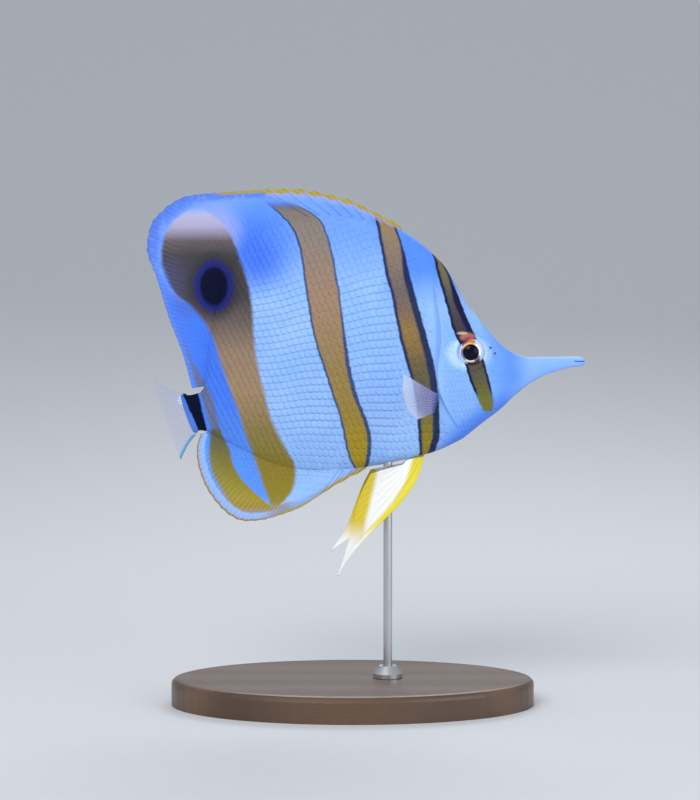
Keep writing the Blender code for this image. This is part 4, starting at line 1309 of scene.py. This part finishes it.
def clear_fin_finish(name, tail):
    """A glassy fin with pale rays; a tail also has the dark bar at its root and a bright lower edge."""
    finish = Finish(name, Coat_Roughness=0.2)
    side = Side(finish)
    rays = Rays(finish, 90.0, 0.4)
    mix = finish.mix
    paint = mix(rays.ray, (0.30, 0.32, 0.86), (0.62, 0.68, 0.97))
    paint = mix(rays.joint * 0.25, paint, (0.25, 0.28, 0.6))
    if tail:
        seen = 0.12 + rays.ray * 0.16 - rays.v * 0.06
        bar = side.band(side.edges(TAIL_BAR), 0.3, 92.5, 107.0, fade=0.4)
        white = side.oval(*TAIL_WHITE) * 0.9
        rim = (1.0 - (rays.u / CAUDAL_RAYS).clear(0.02, 0.06)) * rays.v.clear(0.05, 0.15)
        paint = mix(rim, paint, (0.08, 0.50, 0.95))
        paint = mix(white, paint, (0.80, 0.86, 0.97))
        paint = mix(bar, paint, BLACK)
        seen = seen.most(rim).most(white).most(bar)
    else:
        # Painted highlight: the outer part of the side fin is painted pale and made less clear, where its
        # margin catches the light.
        edge = rays.v.clear(0.68, 0.95)
        paint = mix(edge * 0.8, paint, (0.80, 0.88, 0.98))
        seen = 0.26 + rays.ray * 0.26 + edge * 0.12
        seen = seen.most(1.0 - rays.v.clear(0.02, 0.15))
    finish.feed(Base_Color=paint, Alpha=seen, Roughness=0.3 + rays.v * 0.1,
                Normal=finish.bump(rays.ray * 0.6 + rays.joint * 0.3, 0.0001, 0.5))
    return finish.material


# Eyes.

def eye_piece(word, side, material):
    """An eyeball as a fine turned form: a bulging lens in the pupil, a ring, and the iris round it."""
    s, w = HEAD.find(EYE_X, EYE_Z)
    middle = Vector((EYE_X, side * (HEAD.half(s, w) - EYE_SUNK), EYE_Z))
    turns, levels = 72, 40
    verts, faces = [], []
    for i in range(levels + 1):
        angle = math.pi * i / levels
        radius = EYE_RADIUS * math.sin(angle)
        depth = EYE_DEPTH * math.cos(angle)
        if angle < math.pi / 2:
            depth += 0.16 * float(bell(radius, 0.0, PUPIL_RADIUS * 0.7))
            depth -= 0.22 * float(bell(radius, PUPIL_RADIUS + 0.15, 0.3))
            depth += 0.06 * float(bell(radius, IRIS_RING, 0.3))
        for k in range(turns):
            turn = 2 * math.pi * k / turns
            verts.append((middle.x + radius * math.cos(turn), middle.y + side * depth,
                          middle.z + radius * math.sin(turn)))
    for i in range(levels):
        for k in range(turns):
            a, b = i * turns + k, i * turns + (k + 1) % turns
            faces.append((a, b, b + turns, a + turns))
    eye = add_piece("eye_ball_" + word, verts, turned_out(verts, faces), material)
    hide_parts("eye_" + word)


def eye_finish():
    finish = Finish("fish_eye", Coat_Weight=0.08, Coat_Roughness=0.06, Specular_IOR_Level=0.1)
    place = finish.place()
    x, _, z = (part / MM for part in finish.parts(place))
    x, z = x - EYE_X, z - EYE_Z
    away = (x * x + z * z) ** 0.5
    streaks = finish.noise(place, 900.0, 4.0)
    rim = away + (streaks - 0.5) * 0.2
    band = 1.0 - (x + z * 0.28 - 0.1).size().clear(1.9, 2.7)
    upper = z.clear(-0.5, 1.5)
    stripe = finish.mix(upper, (0.12, 0.05, 0.04), (0.55, 0.17, 0.09))
    stripe = finish.mix((1.0 - x.clear(-1.6, -0.6)) * upper, stripe, (0.20, 0.10, 0.30))
    stripe = finish.mix((z - 4.0).clear(-0.25, 0.25) * 0.7, stripe, (0.60, 0.48, 0.34))
    iris = finish.mix(band, (0.55, 0.70, 0.96), stripe)
    ring = finish.mix(upper, (0.85, 0.78, 0.70), (0.80, 0.38, 0.08))
    # The ring's front side turns white: partly its own pale colour and partly a painted highlight.
    ring = finish.mix(x.clear(0.8, 2.2), ring, (0.90, 0.90, 0.92))
    gap = (1.0 - (x - 2.1).size().clear(0.7, 1.1)) * (-0.6 - z).clear(0.0, 0.8)
    gap = gap.most((-1.2 - x).clear(0.0, 1.0) * (1.0 - z.clear(0.6, 1.8)) * 0.9)
    ring = finish.mix(gap * 0.9, ring, (0.06, 0.05, 0.16))
    paint = finish.mix(rim.clear(IRIS_RING - 0.12, IRIS_RING + 0.1), ring, iris)
    paint = finish.mix(1.0 - rim.clear(PUPIL_RADIUS - 0.08, PUPIL_RADIUS + 0.08), paint,
                       (0.0008, 0.0015, 0.010))
    paint = finish.mix(away.clear(4.35, 4.65) * 0.3, paint, (0.02, 0.02, 0.10))
    inside = away.clear(PUPIL_RADIUS, PUPIL_RADIUS + 0.2)
    finish.feed(Base_Color=paint, Roughness=0.1 + inside * 0.25, Metallic=inside * 0.15)
    return finish.material


# The stand.

def wood_finish():
    finish = Finish("stand_wood", Coat_Weight=0.25, Coat_Roughness=0.25)
    place = finish.place()
    long = finish.add("ShaderNodeMapping", {"vector_type": "POINT"},
                      {"Vector": place, "Scale": (0.12, 1.0, 1.0)})
    warp = finish.noise(long, 60.0, 4.0)
    y = finish.parts(long)[1]
    rings = (y * 300.0 + warp * 3.2).wave() * 0.5 + 0.5
    pores = finish.noise(long, 2600.0, 2.0, 0.7)
    paint = finish.mix(rings, (0.052, 0.026, 0.013), (0.115, 0.060, 0.030))
    paint = finish.mix(pores.clear(0.56, 0.7) * 0.7, paint, (0.025, 0.012, 0.007))
    paint = finish.mix(warp * 0.35, paint, (0.16, 0.085, 0.042))
    finish.feed(Base_Color=paint, Roughness=0.32 + pores * 0.2,
                Normal=finish.bump(rings * 0.3 - pores, 0.00012, 0.5))
    return finish.material


def steel_finish():
    finish = Finish("stand_steel", Metallic=1.0, Anisotropic=0.4)
    place = finish.place()
    drawn = finish.add("ShaderNodeMapping", {"vector_type": "POINT"},
                       {"Vector": place, "Scale": (1.0, 1.0, 0.04)})
    brush = finish.noise(drawn, 4200.0, 3.0, 0.6)
    smear = finish.noise(place, 90.0, 3.0)
    paint = finish.mix(brush * 0.6 + smear * 0.3, (0.42, 0.42, 0.44), (0.70, 0.70, 0.72))
    finish.feed(Base_Color=paint, Roughness=0.2 + brush * 0.18 + smear * 0.08,
                Normal=finish.bump(brush, 0.00002, 0.4))
    return finish.material


# The studio.

def make_floor():
    """A pale floor that curves up into a backdrop."""
    profile = [(FLOOR_FRONT, 0.0)]
    for share in steps(24):
        turn = math.pi / 2 * share
        profile.append((FLOOR_BACK + CURVE_RADIUS * math.sin(turn), CURVE_RADIUS * (1 - math.cos(turn))))
    profile.append((FLOOR_BACK + CURVE_RADIUS, BACKDROP_TOP))
    verts, faces = [], []
    for x in (-FLOOR_HALF, FLOOR_HALF):
        verts += [(x, y, z) for y, z in profile]
    count = len(profile)
    for k in range(count - 1):
        faces.append((k, k + count, k + count + 1, k + 1))
    data = bpy.data.meshes.new("studio_floor")
    data.from_pydata(verts, [], faces)
    data.shade_smooth()
    finish = Finish("studio_paper", Roughness=0.9)
    place = finish.place()
    fibres = finish.noise(place, 240.0, 3.0)
    finish.feed(Base_Color=finish.mix(fibres, (0.60, 0.62, 0.65), (0.63, 0.65, 0.68)))
    data.materials.append(finish.material)
    floor = bpy.data.objects.new("studio_floor", data)
    bpy.context.scene.collection.objects.link(floor)


def add_light(name, place, size, power, tint):
    data = bpy.data.lights.new(name, "AREA")
    data.shape = "RECTANGLE"
    data.size, data.size_y = size
    data.energy = power
    data.color = tint
    lamp = bpy.data.objects.new(name, data)
    lamp.location = place
    lamp.rotation_euler = (Vector(LIGHT_AIM) - Vector(place)).to_track_quat("-Z", "Y").to_euler()
    bpy.context.scene.collection.objects.link(lamp)


def make_studio():
    make_floor()
    for light in LIGHTS:
        add_light(*light)
    world = bpy.data.worlds.new("studio")
    world.use_nodes = True
    glow = world.node_tree.nodes["Background"].inputs
    glow["Color"].default_value = SKY_LIGHT
    glow["Strength"].default_value = SKY_STRENGTH
    bpy.context.scene.world = world
    bpy.context.scene.view_settings.view_transform = "Standard"


def make_camera():
    aim = Vector(CAMERA_AIM) * MM
    back = Vector((0.0, -math.cos(CAMERA_RISE), math.sin(CAMERA_RISE)))
    data = bpy.data.cameras.new("camera")
    data.sensor_width = SENSOR
    data.lens = SENSOR * CAMERA_FAR / (PIXEL * FRAME_TALL * MM)
    data.clip_start = 0.05
    camera = bpy.data.objects.new("camera", data)
    camera.location = aim + back * CAMERA_FAR
    camera.rotation_euler = (-back).to_track_quat("-Z", "Y").to_euler()
    bpy.context.scene.collection.objects.link(camera)
    bpy.context.scene.camera = camera


def dress_stand():
    wood, steel = wood_finish(), steel_finish()
    for node, material in (("stand_base", wood), ("stand_rod", steel), ("stand_collar", steel)):
        thing = bpy.data.objects[node]
        thing.data.materials.clear()
        thing.data.materials.append(material)


def main():
    make_camera()
    make_studio()
    skin_paint, scale_paint = skin_finish(), scale_finish()
    skin = make_skin(skin_paint)
    coat_body(skin, scale_paint)
    soft = median_fin("back_fin_soft", TORSO.upper, -1, SOFT_DORSAL_ROOT, SOFT_DORSAL_TIPS,
                      DORSAL_RAYS, fin_finish("back_fin", "dorsal_soft"), ["dorsal_fin_soft"])
    anal = median_fin("vent_fin_soft", TORSO.lower, 1, SOFT_ANAL_ROOT, SOFT_ANAL_TIPS,
                      ANAL_RAYS, fin_finish("vent_fin", "anal"), ["anal_fin_soft"])
    spiny_paint = fin_finish("spiny_fin", "dorsal_spiny")
    spiny_fin("back_fin_spiny", TORSO.upper, -1, SPINY_DORSAL_ROOT, SPINY_DORSAL_TIPS,
              DORSAL_SPINES, spiny_paint, ["dorsal_fin_spiny"])
    spiny_fin("vent_fin_spiny", TORSO.lower, 1, SPINY_ANAL_ROOT, SPINY_ANAL_TIPS,
              ANAL_SPINES, spiny_paint, ["anal_fin_spiny"])
    coat_fin("back_fin_scales", soft, scale_paint)
    coat_fin("vent_fin_scales", anal, scale_paint)
    caudal(clear_fin_finish("tail_fin", True))
    side_paint = clear_fin_finish("side_fin", False)
    pelvic_paint = fin_finish("belly_fin", "pelvic")
    eye_paint = eye_finish()
    for word, side, tips, bow in (("right", -1, PELVIC_RIGHT_TIPS, PELVIC_RIGHT_BOW),
                                  ("left", 1, PELVIC_LEFT_TIPS, PELVIC_LEFT_BOW)):
        pelvic(word, side, tips, bow, pelvic_paint)
        pectoral(word, side, side_paint)
        eye_piece(word, side, eye_paint)
    dress_stand()


main()
